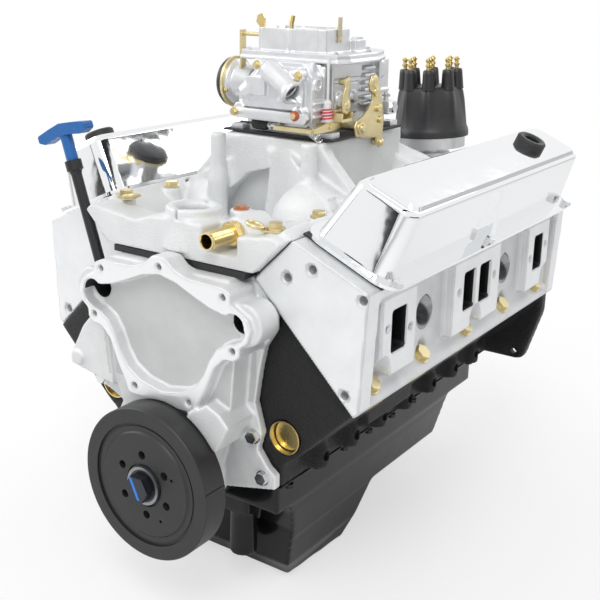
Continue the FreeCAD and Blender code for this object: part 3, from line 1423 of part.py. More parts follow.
def valve_cover(side):
    name = SIDE_NAMES[side]
    flange = slab_of(f"cover_flange_{name}", "z", mm.cover_gasket, mm.cover_flange,
                     level_box(side, mm.cover_flange_in, mm.cover_flange_out, 0, mm.cover_length))
    rounded(flange, mm.cover_corner, runs_along(Z_AXIS))
    outer = cover_shell(f"cover_body_{name}", side, size_of(0), mm.cover_gasket)
    inner = cover_shell(f"cover_inside_{name}", side, mm.cover_wall, mm.cover_gasket - 2)
    ends = (mm.panel_end_inset, mm.cover_length - mm.panel_end_inset)
    panel = wedge_of(f"cover_panel_{name}", mm.cover_height - 1, mm.cover_height + mm.panel_height,
                     level_sides(side, mm.panel_in - 3, mm.panel_out + 3, ends[0] - 3, ends[1] + 3),
                     level_sides(side, mm.panel_in, mm.panel_out, *ends))
    panel = softened(panel, 12, is_slanted)
    rib = slab_of(f"cover_rib_{name}", "y", mm.cover_length / 2 - mm.rib_half_width - 17,
                  mm.rib_half_width * 2, mirrored(side, [
                      (mm.cover_low_out - 1, mm.cover_gasket), (mm.cover_flange_out - 3, mm.cover_gasket),
                      (mm.cover_flange_out - 5, 16), (mm.cover_top_out + 2, mm.cover_height - 10),
                      (mm.cover_top_out - 1, mm.cover_height - 10)]))
    solid = joined(f"cover_solid_{name}", flange, outer, panel, rib)
    station = mm.grommet_station if side > 0 else mm.grommet_station_right
    hole = rod_of("grommet_hole", (mm.grommet_across * side, station, mm.cover_height - 20), "z",
                  mm.grommet_hole_radius, 40)
    bolts = [rod_of("cover_hole", (mm.cover_bolt_out * side, spot, 0), "z", mm.cover_bolt_radius + 0.4,
                    9) for spot in cover_bolt_stations()]
    bolts += [rod_of("cover_seat", (mm.cover_bolt_out * side, spot, mm.cover_gasket + mm.cover_flange),
                     "z", mm.cover_seat_radius, 9) for spot in cover_bolt_stations()]
    return node(f"valve_cover_{name}", bored(f"cover_{name}", solid, inner, hole, *bolts),
                *cover_place(side))


def cover_bolt_stations():
    return [size_of(18), mm.cover_length / 2 - 17, mm.cover_length - 20]


def cover_gaskets():
    """The rail gaskets under the valve covers."""
    gaskets = []
    for side in SIDES:
        at, turn = cover_place(side)
        outer = slab_of("rail_gasket", "z", 0, mm.cover_gasket - 0.05, level_box(
            side, mm.cover_flange_in + 3, mm.cover_flange_out - 12, 3, mm.cover_length - 3))
        inner = slab_of("rail_gasket_inside", "z", -1, 5, level_box(
            side, mm.cover_flange_in + 9, mm.cover_flange_out - 21, 15, mm.cover_length - 15))
        gaskets.append(put(bored("rail_gasket_ring", outer, inner), at, turn))
    return gaskets


def cover_bolts():
    bolt = hex_bolt("cover_bolt", mm.cover_bolt_radius, 5, 7, 6)
    groups = []
    for side in SIDES:
        at, turn = cover_place(side)
        row = [copy_of(bolt, (mm.cover_bolt_out * side, spot, mm.cover_gasket + mm.cover_flange))
               for spot in cover_bolt_stations()]
        groups.append(put(grouped("cover_bolt_row", *row), at, turn))
    return node("valve_cover_bolts", grouped("cover_bolt_group", *groups))


def grommets():
    """Rubber rings that grip the cover's hole in a groove."""
    rings_made = []
    for side in SIDES:
        at, turn = cover_place(side)
        station = mm.grommet_station if side > 0 else mm.grommet_station_right
        top = mm.cover_height + mm.panel_height
        ring = turned_of("grommet", [
            (mm.grommet_bore, top - mm.cover_wall - 12), (mm.grommet_hole_radius - 0.2, top - mm.cover_wall - 12),
            (mm.grommet_hole_radius - 0.2, top), (mm.grommet_radius, top),
            (mm.grommet_radius, top + mm.grommet_height - 2),
            (mm.grommet_radius - 2, top + mm.grommet_height),
            (mm.grommet_bore + 3, top + mm.grommet_height), (mm.grommet_bore, top + mm.grommet_height - 2)],
            (mm.grommet_across * side, station, 0))
        rings_made.append(put(grouped("grommet_holder", ring), at, turn))
    return node("valve_cover_grommets", grouped("grommet_group", *rings_made))


for each_side in SIDES:
    valve_cover(each_side)
cover_bolts()
grommets()


# Intake manifold: a two-level casting with a crossover, a thermostat neck and eight runners

mm.add(
    intake_gap=1.5, intake_front=-28, intake_flange_low=250, intake_flange_high=308,
    intake_flange=16, intake_floor_low=236, crossover_depth=44,
    neck_height=309, neck_station=4, neck_radius=32, neck_foot_radius=38,
    neck_bore=19, neck_step_bore=24, neck_hole_spread=26.5, neck_hole_radius=3.2,
    plenum_half_width=74, plenum_start=152, plenum_end=344, plenum_top=366, plenum_foot=246,
    carb_station=248, throttle_across=24, throttle_spread=27, throttle_bore=21,
    pad_stud_across=66, pad_stud_spread=71, pad_stud_radius=3.6, runner_half_width=36,
    runner_top=322, boss_across=68, boss_station=132, boss_radius=10, boss_top=368,
    intake_bolt_height=298, intake_post_radius=11,
    nipple_across=57, nipple_height=285, nipple_face=5, nipple_boss=17, pipe_across=40,
    pipe_station=38, pipe_height=304, pipe_boss=13, rear_step=62,
)


def runner_station(side, pair):
    """The middle of a pair of neighbouring intake ports."""
    return (intake_port_station(side, pair * 2) + intake_port_station(side, pair * 2 + 1)) / 2


def intake_manifold():
    front = mm.intake_front
    solids = [slab_of("valley_floor", "y", 6, mm.head_length - 2, [
        (-92, 251), (-84, mm.intake_floor_low), (84, mm.intake_floor_low), (92, 251),
        (100, 262), (-100, 262)])]
    face = mm.head_inner + mm.intake_gap
    for side in SIDES:
        flange = slab_of("intake_flange", "y", mm.head_start + lead(side) + 4, mm.head_length - 8,
                         mirrored(side, [(-face, mm.intake_flange_low), (-face, mm.intake_flange_high),
                                         (-face - mm.intake_flange, mm.intake_flange_high),
                                         (-face - mm.intake_flange, mm.intake_flange_low)]))
        solids.append(put(flange, turn=banked(side)))
        for pair in range(2):
            station = runner_station(side, pair)
            near = 30 * side
            inward = station + (mm.carb_station - station) * 0.3
            solids.append(loft_of("runner", "x",
                                  (near, [(inward - mm.runner_half_width, 254),
                                          (inward + mm.runner_half_width, 254),
                                          (inward + mm.runner_half_width - 6, 350),
                                          (inward - mm.runner_half_width + 6, 350)]),
                                  (82 * side, [(station - mm.runner_half_width, 250),
                                               (station + mm.runner_half_width, 250),
                                               (station + mm.runner_half_width - 6, mm.runner_top),
                                               (station - mm.runner_half_width + 6, mm.runner_top)]),
                                  (124 * side, [(station - mm.runner_half_width, 260),
                                                (station + mm.runner_half_width, 260),
                                                (station + mm.runner_half_width - 6, 302),
                                                (station - mm.runner_half_width + 6, 302)])))
        solids.append(rod_of("tall_boss", (mm.boss_across * side, mm.boss_station, 258), "z",
                             mm.boss_radius, mm.boss_top - 258))
        for step in INTAKE_BOLT_STEPS:
            solids.append(rod_of("intake_post", (mm.intake_bolt_across * side, lead(side) + step, 256),
                                 "z", mm.intake_post_radius, mm.intake_bolt_height - 256))
    for start, length in ((front, mm.crossover_depth), (mm.head_length + 6 - mm.rear_step, mm.rear_step)):
        solids.append(slab_of("crossover", "y", start, length, [
            (-141, 289), (-105, 254), (105, 254), (141, 289), (130, 297), (62, 288), (34, 297),
            (-34, 297), (-62, 288), (-130, 297)]))
    solids.append(wedge_of("plenum", mm.plenum_foot, mm.plenum_top,
                           (-64, 64, mm.plenum_start - 6, mm.plenum_end + 6),
                           (-mm.plenum_half_width, mm.plenum_half_width, mm.plenum_start,
                            mm.plenum_end)))
    solids.append(taper_of("neck_foot", (0, mm.neck_station, 262), "z", mm.neck_foot_radius,
                           mm.neck_radius, 30))
    solids.append(rod_of("neck", (0, mm.neck_station, 262), "z", mm.neck_radius, mm.neck_height - 262))
    solids.append(rod_of("nipple_boss", (mm.nipple_across, mm.nipple_face, mm.nipple_height), "y",
                         mm.nipple_boss, 50))
    solids.append(block_of("nipple_foot", (mm.nipple_across - 30, 8, 258), (mm.nipple_across + 17, 55, 290)))
    solids.append(rod_of("pipe_boss", (mm.pipe_across, mm.pipe_station, 262), "z", mm.pipe_boss,
                         mm.pipe_height - 263))
    casting = joined("intake_casting", *solids)
    cutters = [
        rod_of("neck_bore", (0, mm.neck_station, 270), "z", mm.neck_bore, 60),
        rod_of("neck_step", (0, mm.neck_station, mm.neck_height - 3), "z", mm.neck_step_bore, 10),
        put(rod_of("distributor_hole", (0, 0, 0), "z", mm.spark_tube + 0.3, 400),
            (mm.spark_across, mm.spark_station, 0), (Y_AXIS, -mm.spark_lean)),
        rod_of("nipple_bore", (mm.nipple_across, mm.nipple_face - 1, mm.nipple_height), "y", 8, 30),
        block_of("nipple_room", (mm.nipple_across - 20, front - 1, mm.nipple_height - 16),
                 (mm.nipple_across + 26, mm.nipple_face, 330)),
    ]
    for sign in SIDES:
        cutters.append(rod_of("neck_hole", (0, mm.neck_station + mm.neck_hole_spread * sign,
                                            mm.neck_height - 16), "z", mm.neck_hole_radius, 20))
        cutters.append(block_of("plenum_room", (4 if sign > 0 else -58, mm.plenum_start + 16, 266),
                                (58 if sign > 0 else -4, mm.plenum_end - 16, 352)))
        for end in (-1, 1):
            across = mm.throttle_across * sign
            station = mm.carb_station + mm.throttle_spread * end
            cutters.append(rod_of("plenum_bore", (across, station, 350), "z", mm.throttle_bore + 1, 20))
            cutters.append(rod_of("pad_stud", (mm.pad_stud_across * sign, mm.carb_station
                                               + mm.pad_stud_spread * end, mm.plenum_top - 14), "z",
                                  mm.pad_stud_radius, 16))
        cutters.append(rod_of("boss_hole", (mm.boss_across * sign, mm.boss_station, mm.boss_top - 14),
                              "z", 4, 16))
    for side in SIDES:
        bank_cutters = pushrod_holes(side) + [block_of("head_side", ((-face if side > 0 else -200), -60, 200),
                                 ((200 if side > 0 else face), mm.block_length + 60, 420))]
        for index in CYLINDERS:
            port = intake_port_station(side, index)
            half = mm.intake_port_width / 2
            bank_cutters.append(pad_box("runner_port", -side,
                                        (port - half, mm.intake_port_up - mm.intake_port_height / 2),
                                        (port + half, mm.intake_port_up + mm.intake_port_height / 2),
                                        mm.head_inner, mm.head_inner + 40))
        cutters.append(put(grouped("intake_bank_cutters", *bank_cutters), turn=banked(side)))
        for step in INTAKE_BOLT_STEPS:
            cutters.append(rod_of("intake_hole", (mm.intake_bolt_across * side, lead(side) + step, 200),
                                  "z", mm.intake_bolt_radius + 0.6, 110))
            cutters.append(rod_of("spot_face", (mm.intake_bolt_across * side, lead(side) + step,
                                                mm.intake_bolt_height), "z", 14, 20))
    return node("intake_manifold", bored("intake", casting, *cutters))


def intake_bolts():
    bolt = joined("intake_bolt", hex_bolt("intake_screw", mm.intake_bolt_radius, 38, 8, 7),
                  rod_of("intake_washer", (0, 0, 0), "z", 10, 1.8))
    bolts = [copy_of(bolt, (mm.intake_bolt_across * side, lead(side) + step,
                            mm.intake_bolt_height + (2.5 if step < 0 else 0)))
             for side in SIDES for step in INTAKE_BOLT_STEPS]
    return node("intake_bolts", grouped("intake_bolt_group", *bolts))


def lifting_rings():
    """A strap under the front bolt on each side, with an eye at its end."""
    rings_made = []
    for side in SIDES:
        strap = block_of("strap", (-8, -15, 0), (8, 9, 2.2))
        hole = rod_of("strap_hole", (0, 0, -1), "z", mm.intake_bolt_radius + 0.4, 5)
        eye = doc.addObject("Part::Torus", "eye")
        eye.Radius1 = 9
        eye.Radius2 = 2.2
        put(eye, (0, -21.8, 6), (X_AXIS, -18))
        ring = bored("lifting_ring", joined("lifting_ring_solid", strap, eye), hole)
        rings_made.append(put(grouped("lifting_ring_holder", ring), (
            mm.intake_bolt_across * side, lead(side) + INTAKE_BOLT_STEPS[0], mm.intake_bolt_height),
            (Z_AXIS, -60 * side)))
    return node("lifting_rings", grouped("lifting_ring_group", *rings_made))


def hose_nipple():
    at = (mm.nipple_across, mm.nipple_face - 0.2, mm.nipple_height)
    solid = turned_of("nipple_tube", [(7.5, 0), (13, 0), (13, 2), (10, 2), (10, 47), (9.4, 50),
                                      (8, 50), (7.5, 49)], at, "y")
    put(solid, at, (X_AXIS, 90))
    head = hexagon_of("nipple_hex", (mm.nipple_across, mm.nipple_face - 11, mm.nipple_height), "y", 14,
                      10.8)
    body = joined("nipple_solid", solid, head)
    bore_hole = rod_of("nipple_through", (mm.nipple_across, -60, mm.nipple_height), "y", 7.5, 80)
    return node("hose_nipple", bored("nipple", body, bore_hole))


def pipe_plug():
    base = rod_of("pipe_plug_disc", (mm.pipe_across, mm.pipe_station, mm.pipe_height - 1), "z", 9, 1.4)
    head = hexagon_of("pipe_plug_hex", (mm.pipe_across, mm.pipe_station, mm.pipe_height), "z", 7, 3.4)
    return node("pipe_plug", joined("pipe_plug_solid", base, head))


intake_manifold()
intake_bolts()
lifting_rings()
hose_nipple()
pipe_plug()


# Place of the dipstick, whose tube stands in the timing cover

mm.add(
    stick_station=-20, stick_across=-128, stick_height=229, stick_lean=-18.5, tube_radius=6.5,
    tube_bore=5, tube_length=120, collar_radius=10, collar_length=17, stick_stem_radius=7.2,
    blade_half_width=2.8, blade_thickness=0.9, stem_top=148, handle_length=82,
    handle_depth=17, handle_width=15,
)
STICK_TURN = (Y_AXIS, mm.stick_lean)


def stick_place():
    return (mm.stick_across, mm.stick_station, mm.stick_height), STICK_TURN


# Timing cover: one aluminium casting over the chain, with the open face for a water pump

mm.add(
    cover_back=-1, cover_plate=-12, pump_face=-58, pocket_floor=-41, chain_room=-36,
    chain_room_radius=74, crank_room_radius=46, crank_dome_radius=56, crank_dome=-43,
    seal_radius=44, pump_hole_radius=4, pump_hole_depth=18, port_radius=13, port_boss=24,
    port_boss_across=110, scale_face=-60, cover_screw_radius=3.8,
)
PUMP_HOLES = ((0, 249.8), (88.4, 232.4), (-88.4, 232.4), (101.3, 175.3), (-101.3, 175.3),
              (40, 100.7), (-40, 100.7))
COVER_SCREWS = ((111, 13), (-111, 13), (97, 60), (-136, 73))


def both_halves(half):
    """An outline mirrored about the middle, from its right half listed downwards."""
    return [*half, *[(-size_of(across), up) for across, up in reversed(half) if across != 0]]


def timing_cover():
    plate = slab_of("cover_plate", "y", mm.cover_plate, mm.cover_back - mm.cover_plate, [
        (0, 246), (95, 246), (111, 230), (124, 214), (124, 190), (110, 168), (104, 140), (98, 100),
        (108, 66), (102, 44), (116, 26), (127, 18), (127, 2), (47, -18), (-47, -18), (-127, 2),
        (-127, 18), (-116, 26), (-104, 50), (-126, 60), (-146, 64), (-148, 80), (-136, 90),
        (-110, 100), (-106, 140), (-110, 168), (-124, 190), (-124, 214), (-111, 230), (-95, 246)])
    pump = slab_of("pump_flange", "y", mm.pump_face, mm.cover_plate - mm.pump_face, both_halves([
        (0, 262), (10, 261), (21, 251), (40, 244), (88, 243), (99, 238), (99, 226), (110, 220),
        (121, 214), (126, 202), (121, 188), (111, 180), (111, 170), (103, 164), (90, 163), (77, 150),
        (66, 124), (54, 102), (50, 90), (0, 88)]))
    rounded(pump, 5, runs_along(Y_AXIS))
    wall = slab_of("cover_wall", "y", mm.chain_room - 5, mm.cover_plate - mm.chain_room + 5, [
        (0, 246), (84, 246), (96, 200), (90, 140), (86, 90), (62, 40), (52, 6), (-52, 6), (-62, 40),
        (-86, 90), (-90, 140), (-96, 200), (-84, 246)])
    solids = [plate, pump, wall,
              rod_of("crank_dome", (0, mm.crank_dome, 0), "y", mm.crank_dome_radius,
                     mm.cover_back - mm.crank_dome),
              slab_of("fuel_pump_arm", "y", -46, 34, [
                  (-95, 172), (-118, 168), (-134, 150), (-157, 108), (-156, 98), (-122, 92), (-85, 86)]),
              rod_of("fuel_pump_boss", (-143, -50, 108), "y", 9, 10),
              slab_of("scale_block", "y", mm.scale_face, mm.cover_plate - mm.scale_face, [
                  (37, 84), (67, 106), (84, 99), (98, 86), (79, 52), (62, 64)])]
    for side in SIDES:
        solids.append(rod_of("port_boss", (mm.port_boss_across * side, mm.pump_face + 8, mm.port_height),
                             "y", mm.port_boss, mm.cover_plate - mm.pump_face - 13))
    casting = joined("timing_cover_casting", *solids)
    pocket = slab_of("pump_pocket", "y", mm.pump_face - 1, mm.pocket_floor - mm.pump_face + 1,
                     both_halves([
                         (0, 241), (24, 236), (50, 225), (71, 217), (90, 213), (104, 213),
                         (114, 206), (118, 199), (114, 190), (104, 184), (93, 181), (80, 173),
                         (70, 158), (62, 139), (50, 122), (30, 110), (0, 104)]))
    rounded(pocket, 4, runs_along(Y_AXIS))
    cutters = [
        pocket,
        rod_of("cam_room", (0, mm.chain_room, mm.cam_height), "y", mm.chain_room_radius, 60),
        rod_of("crank_room", (0, mm.chain_room, 0), "y", mm.crank_room_radius, 60),
        slab_of("chain_room_middle", "y", mm.chain_room, 60, [
            (-46, -1), (46, -1), (70, mm.cam_height - 22), (-70, mm.cam_height - 22)]),
        rod_of("seal_hole", (0, -80, 0), "y", mm.seal_radius, 100),
        rod_of("damper_room", (0, mm.pump_face - 3, 0), "y", mm.damper_radius + 1.1, 7),
        block_of("crown_step", (-120, mm.pump_face + 28, 246), (120, 10, 270)),
        put(grouped("tube_seat", rod_of("tube_seat_hole", (0, 0, -8.1), "z", mm.tube_radius + 0.05, 60)),
            *stick_place()),
    ]
    for across, height in PUMP_HOLES:
        cutters.append(rod_of("pump_hole", (across, mm.pump_face - 1, height), "y",
                              mm.pump_hole_radius, mm.pump_hole_depth + 1))
    for across, height in COVER_SCREWS:
        cutters.append(rod_of("cover_screw_hole", (across, mm.cover_plate - 1, height), "y",
                              mm.cover_screw_radius + 0.3, 30))
    for side in SIDES:
        cutters.append(rod_of("port", (mm.port_across * side, mm.pump_face - 1, mm.port_height), "y",
                              mm.port_radius, 80))
    return node("timing_cover", bored("timing_cover_body", casting, *cutters))


def timing_cover_bolts():
    bolt = joined("cover_screw", hex_bolt("cover_screw_hex", mm.cover_screw_radius, 10.8, 7.5, 7),
                  rod_of("cover_screw_washer", (0, 0, 0), "z", 9, 1.6))
    bolts = [copy_of(bolt, (across, mm.cover_plate, height), (X_AXIS, 90))
             for across, height in COVER_SCREWS]
    return node("timing_cover_bolts", grouped("cover_screw_group", *bolts))


timing_cover()
timing_cover_bolts()


# Gaskets and seals of the whole engine, as one set

def gasket_set():
    pieces = head_gaskets() + cover_gaskets()
    for side in SIDES:
        strip = block_of("intake_gasket", ((-mm.head_inner - mm.intake_gap + 0.05) if side > 0
                                           else mm.head_inner + 0.05, mm.head_start + lead(side) + 4,
                                           mm.intake_flange_low),
                         ((-mm.head_inner - 0.05) if side > 0 else mm.head_inner + mm.intake_gap
                          - 0.05, mm.head_start + lead(side) + mm.head_length - 4,
                          mm.intake_flange_high))
        holes = []
        for index in CYLINDERS:
            port = intake_port_station(side, index)
            half = mm.intake_port_width / 2
            holes.append(pad_box("intake_gasket_port", -side,
                                 (port - half, mm.intake_port_up - mm.intake_port_height / 2),
                                 (port + half, mm.intake_port_up + mm.intake_port_height / 2),
                                 mm.head_inner - 5, mm.head_inner + 10))
        holes += pushrod_holes(side)
        for step in INTAKE_BOLT_STEPS:
            at = (mm.intake_bolt_across * side, lead(side) + step, 200)
            hole = rod_of("intake_gasket_hole", at, "z", mm.intake_bolt_radius + 1, 110)
            holes.append(put(grouped("intake_gasket_hole_turned", hole),
                             turn=(Y_AXIS, -mm.bank_angle * side)))
        pieces.append(put(bored("intake_gasket_sheet", strip, *holes), turn=banked(side)))
    for start in (size_of(0), mm.block_length - mm.valley_wall):
        pieces.append(block_of("end_seal", (-84, start, mm.valley_wall_top + 0.05),
                               (84, start + mm.valley_wall, mm.intake_floor_low - 0.05)))
    pieces.append(bored("front_seal", rod_of("front_seal_ring", (0, mm.crank_dome, 0), "y",
                                             mm.seal_radius - 0.02, 8),
                        rod_of("front_seal_hole", (0, mm.crank_dome - 1, 0), "y",
                               mm.damper_hub_radius + 0.1, 12)))
    pieces.append(block_of("front_band", (-95, mm.intake_front + 0.5, 246.3),
                           (95, mm.cover_plate - 0.5, 253.7)))
    arch = bored("pan_seal_ring", rod_of("pan_seal_outer", (0, mm.cover_back + 0.2, 0), "y",
                                         mm.crank_dome_radius, mm.pan_front + 8 - mm.cover_back - 0.4),
                 rod_of("pan_seal_inner", (0, -5, 0), "y", mm.crank_room_radius, 30),
                 block_of("pan_seal_top", (-80, -5, -mm.pan_gasket), (80, 30, 80)))
    pieces.append(arch)
    pieces.append(bored("rear_seal", rod_of("rear_seal_ring", (0, mm.block_length - 20, 0), "y",
                                            mm.rear_seal_radius - 0.02, 12),
                        rod_of("rear_seal_hole", (0, mm.block_length - 21, 0), "y",
                               mm.seal_land_radius + 0.1, 16)))
    return node("gasket_set", grouped("gaskets", *pieces))


# Sump: a pressed steel pan with a rail, a deep front well and a shallow rear tray

mm.add(
    pan_rail=127, pan_rail_thickness=4, pan_front=0.5, pan_rear=557, pan_gasket=1,
    tray_half_width=116, tray_rear=524, tray_depth=44, deck_depth=106, well_depth=178,
    crank_notch=38.5, housing_notch=68.5, pan_wall=2, pan_screw_radius=3,
    drain_radius=9, pan_screw_step=60, pickup_radius=4.5,
)


def pan_solid(name, shrink):
    """The pressed shape, or its inside when it is shrunk by the wall."""
    half = mm.tray_half_width - shrink
    tray = block_of(name + "_tray", (-half, mm.pan_front + 8 + shrink, -mm.tray_depth + shrink),
                    (half, mm.tray_rear - shrink, shrink - mm.pan_gasket - 1))
    deck = wedge_of(name + "_deck", -mm.deck_depth + shrink, -mm.tray_depth + shrink + 2,
                    (-half + 12, half - 12, 62 + shrink, 440 - shrink),
                    (-half, half, 34 + shrink, 457 - shrink))
    front_nose = block_of(name + "_front_nose", (shrink - 66, 18 + shrink, -68 + shrink),
                          (66 - shrink, 80, -mm.tray_depth + 6))
    rear_nose = block_of(name + "_rear_nose", (shrink - 66, 400, -68 + shrink),
                         (66 - shrink, 516 - shrink, -mm.tray_depth + 6))
    sweep = wedge_of(name + "_sweep", -94 + shrink, -mm.tray_depth + 6,
                     (shrink - 80, 80 - shrink, 400, 496 - shrink),
                     (shrink - 80, 80 - shrink, 400, 500 - shrink))
    well = loft_of(name + "_well", "z",
                   (-mm.well_depth + shrink, [(-86 + shrink, 78 + shrink), (86 - shrink, 78 + shrink),
                                              (86 - shrink, 214 - shrink), (46 - shrink, 292 - shrink),
                                              (-46 + shrink, 292 - shrink), (-86 + shrink, 214 - shrink)]),
                   (-mm.deck_depth + shrink + 12, [
                       (-half + 12, 58 + shrink), (half - 12, 58 + shrink), (half - 12, 262 - shrink),
                       (72 - shrink, 330 - shrink), (-72 + shrink, 330 - shrink),
                       (-half + 12, 262 - shrink)]))
    return joined(name, tray, deck, well, front_nose, rear_nose, sweep)


def oil_pan():
    rail = block_of("pan_rail_plate", (-mm.pan_rail, mm.pan_front, -mm.pan_gasket - mm.pan_rail_thickness),
                    (mm.pan_rail, mm.pan_rear, -mm.pan_gasket))
    outer = joined("pan_outer", pan_solid("pan_press", size_of(0)), rail)
    inner = pan_solid("pan_inside", mm.pan_wall)
    mouth = block_of("pan_mouth", (-mm.tray_half_width + mm.pan_wall, mm.pan_front + 8 + mm.pan_wall,
                                   -mm.tray_depth + mm.pan_wall + 1),
                     (mm.tray_half_width - mm.pan_wall, mm.tray_rear - mm.pan_wall, 5))
    notches = [rod_of("front_notch", (0, -1, 0), "y", mm.crank_notch, 40),
               rod_of("rear_notch", (0, 500, 0), "y", mm.crank_notch, 40),
               rod_of("housing_notch", (0, mm.tray_rear + 0.05, 0), "y", mm.housing_notch, 60),
               rod_of("seal_notch", (0, -1, 0), "y", mm.crank_dome_radius + 0.3, mm.pan_front + 9)]
    drain = rod_of("drain_hole", (0, 250, -mm.well_depth + 22), "y", mm.drain_radius - 2, 60)
    holes = [rod_of("pan_hole", (122.5 * side, spot, -20), "z", mm.pan_screw_radius, 30)
             for side in SIDES for spot in pan_screw_stations()]
    return node("oil_pan", bored("pan", outer, inner, mouth, drain, *notches, *holes))


def pan_screw_stations():
    return [mm.pan_front + 22 + mm.pan_screw_step * number for number in range(9)]


def oil_pan_bolts():
    bolt = hex_bolt("pan_screw", mm.pan_screw_radius - 0.2, mm.pan_rail_thickness, 6, 5)
    bolts = [copy_of(bolt, (122.5 * side, spot, -mm.pan_gasket - mm.pan_rail_thickness), (X_AXIS, 180))
             for side in SIDES for spot in pan_screw_stations()]
    return node("oil_pan_bolts", grouped("pan_screw_group", *bolts))


def drain_plug():
    slope = size_of(836) / (mm.well_depth - mm.deck_depth + 12) + 292
    washer = rod_of("drain_washer", (0, slope - 6, -mm.well_depth + 22), "y", mm.drain_radius - 2.2, 12)
    head = hexagon_of("drain_head", (0, slope + 5.5, -mm.well_depth + 22), "y", 11, 8)
    return node("drain_plug", joined("drain_plug_solid", washer, head))


def oil_pump():
    """A gear pump on the floor of the block behind the rear cap, with a pipe to a strainer."""
    body = block_of("pump_body", (39, 507, -41), (76, 521, -0.1))
    rear_leg = rod_of("pickup_rear", (70, 488.5, -30), "y", mm.pickup_radius, 22)
    down_leg = rod_of("pickup_down", (70, 488.5, -89), "z", mm.pickup_radius + 0.4, 64)
    pipe = rod_of("pickup_pipe", (70, 200, -84), "y", mm.pickup_radius, 288.5)
    drop = rod_of("pickup_drop", (70, 200, -162), "z", mm.pickup_radius + 0.4, 83)
    strainer = rod_of("strainer", (56, 200, -170), "z", 20, 12)
    shaft_hole = rod_of("pump_shaft_hole", (0, 0, -60), "z", 4 + mm.running_gap, 80)
    shaft_hole = put(grouped("pump_shaft_bore", shaft_hole), (mm.spark_across, mm.spark_station, 0),
                     (Y_AXIS, -mm.spark_lean))
    return node("oil_pump", bored("oil_pump_body", joined("oil_pump_solid", body, rear_leg, down_leg,
                                                          pipe, drop, strainer), shaft_hole))


oil_pan()
oil_pan_bolts()
drain_plug()
oil_pump()
gasket_set()


# Distributor: it leans across the engine so that its shaft passes beside the crankshaft

mm.add(
    spark_flange=28, spark_bowl=50, spark_bowl_low=314,
    spark_bowl_top=330, cap_radius=55, cap_top_radius=48, cap_top=400, cap_wall=5, tower_circle=33,
    tower_radius=8, tower_top=424, tip_radius=4, tip_top=441, rotor_radius=34,
)
SPARK_TURN = (Y_AXIS, -mm.spark_lean)


def spark_place():
    return (mm.spark_across, mm.spark_station, 0), SPARK_TURN


def distributor_housing():
    body = turned_of("distributor_body", [
        (mm.spark_shaft + mm.running_gap, 190), (mm.spark_tube, 190), (mm.spark_tube, 300.6),
        (mm.spark_flange, 300.6), (mm.spark_flange, 306), (19, 306), (19, mm.spark_bowl_low - 4),
        (mm.spark_bowl, mm.spark_bowl_low), (mm.spark_bowl, mm.spark_bowl_top - 0.1),
        (mm.spark_bowl - 4, mm.spark_bowl_top - 0.1), (mm.spark_bowl - 4, mm.spark_bowl_low + 4),
        (mm.spark_shaft + mm.running_gap, mm.spark_bowl_low + 4)])
    return node("distributor_housing", grouped("distributor_housing_piece", body), *spark_place())


def distributor_cap():
    shell = turned_of("cap_shell", [
        (mm.cap_radius - mm.cap_wall, mm.spark_bowl_top), (mm.cap_radius, mm.spark_bowl_top),
        (mm.cap_radius, mm.spark_bowl_top + 10), (mm.cap_radius - 3, mm.spark_bowl_top + 13),
        (mm.cap_top_radius, mm.cap_top - 6), (mm.cap_top_radius - 5, mm.cap_top), (0, mm.cap_top),
        (0, mm.cap_top - mm.cap_wall), (mm.cap_top_radius - 8, mm.cap_top - mm.cap_wall - 4),
        (mm.cap_radius - mm.cap_wall, mm.spark_bowl_top + 12)])
    solids = [shell]
    for index in range(9):
        circle = mm.tower_circle if index < 8 else size_of(0)
        across = circle * sine(index * 45 + 22)
        along = circle * cosine(index * 45 + 22)
        solids.append(taper_of("tower", (across, along, mm.cap_top - 2), "z", mm.tower_radius + 2,
                               mm.tower_radius - 1, mm.tower_top - mm.cap_top + 2))
        solids.append(rod_of("tower_tip", (across, along, mm.tower_top - 1), "z", mm.tip_radius,
                             mm.tip_top - mm.tower_top))
    return node("distributor_cap", joined("distributor_cap_body", *solids), *spark_place())


def distributor_shaft():
    """Shaft, drive gear and rotor. Its lower end turns the oil pump."""
    shaft = rod_of("spark_rod", (0, 0, 2), "z", mm.spark_shaft, mm.spark_bowl_top + 6)
    lower = rod_of("spark_lower", (0, 0, -36), "z", 4, 40)
    gear = rod_of("spark_pinion", (0, 0, mm.cam_height - mm.spark_gear_half), "z", mm.spark_gear,
                  mm.spark_gear_half * 2)
    hub = rod_of("rotor_hub", (0, 0, mm.spark_bowl_top + 4), "z", 12, 24)
    blade = block_of("rotor_blade", (-8, -8, mm.spark_bowl_top + 22), (8, mm.rotor_radius,
                                                                      mm.spark_bowl_top + 30))
    body = joined("distributor_shaft_body", shaft, lower, gear, hub, blade)
    return node("distributor_shaft", body, *spark_place())


distributor_housing()
distributor_cap()
distributor_shaft()


# Dipstick and its tube, in front of the right head

def dipstick_tube():
    tube = turned_of("tube_wall", [
        (mm.tube_bore, -8), (mm.tube_radius, -8), (mm.tube_radius, mm.tube_length - mm.collar_length),
        (mm.collar_radius - 2, mm.tube_length - mm.collar_length + 4),
        (mm.collar_radius, mm.tube_length - mm.collar_length + 5), (mm.collar_radius, mm.tube_length),
        (mm.tube_bore, mm.tube_length)])
    return node("dipstick_tube", grouped("dipstick_tube_piece", tube), *stick_place())


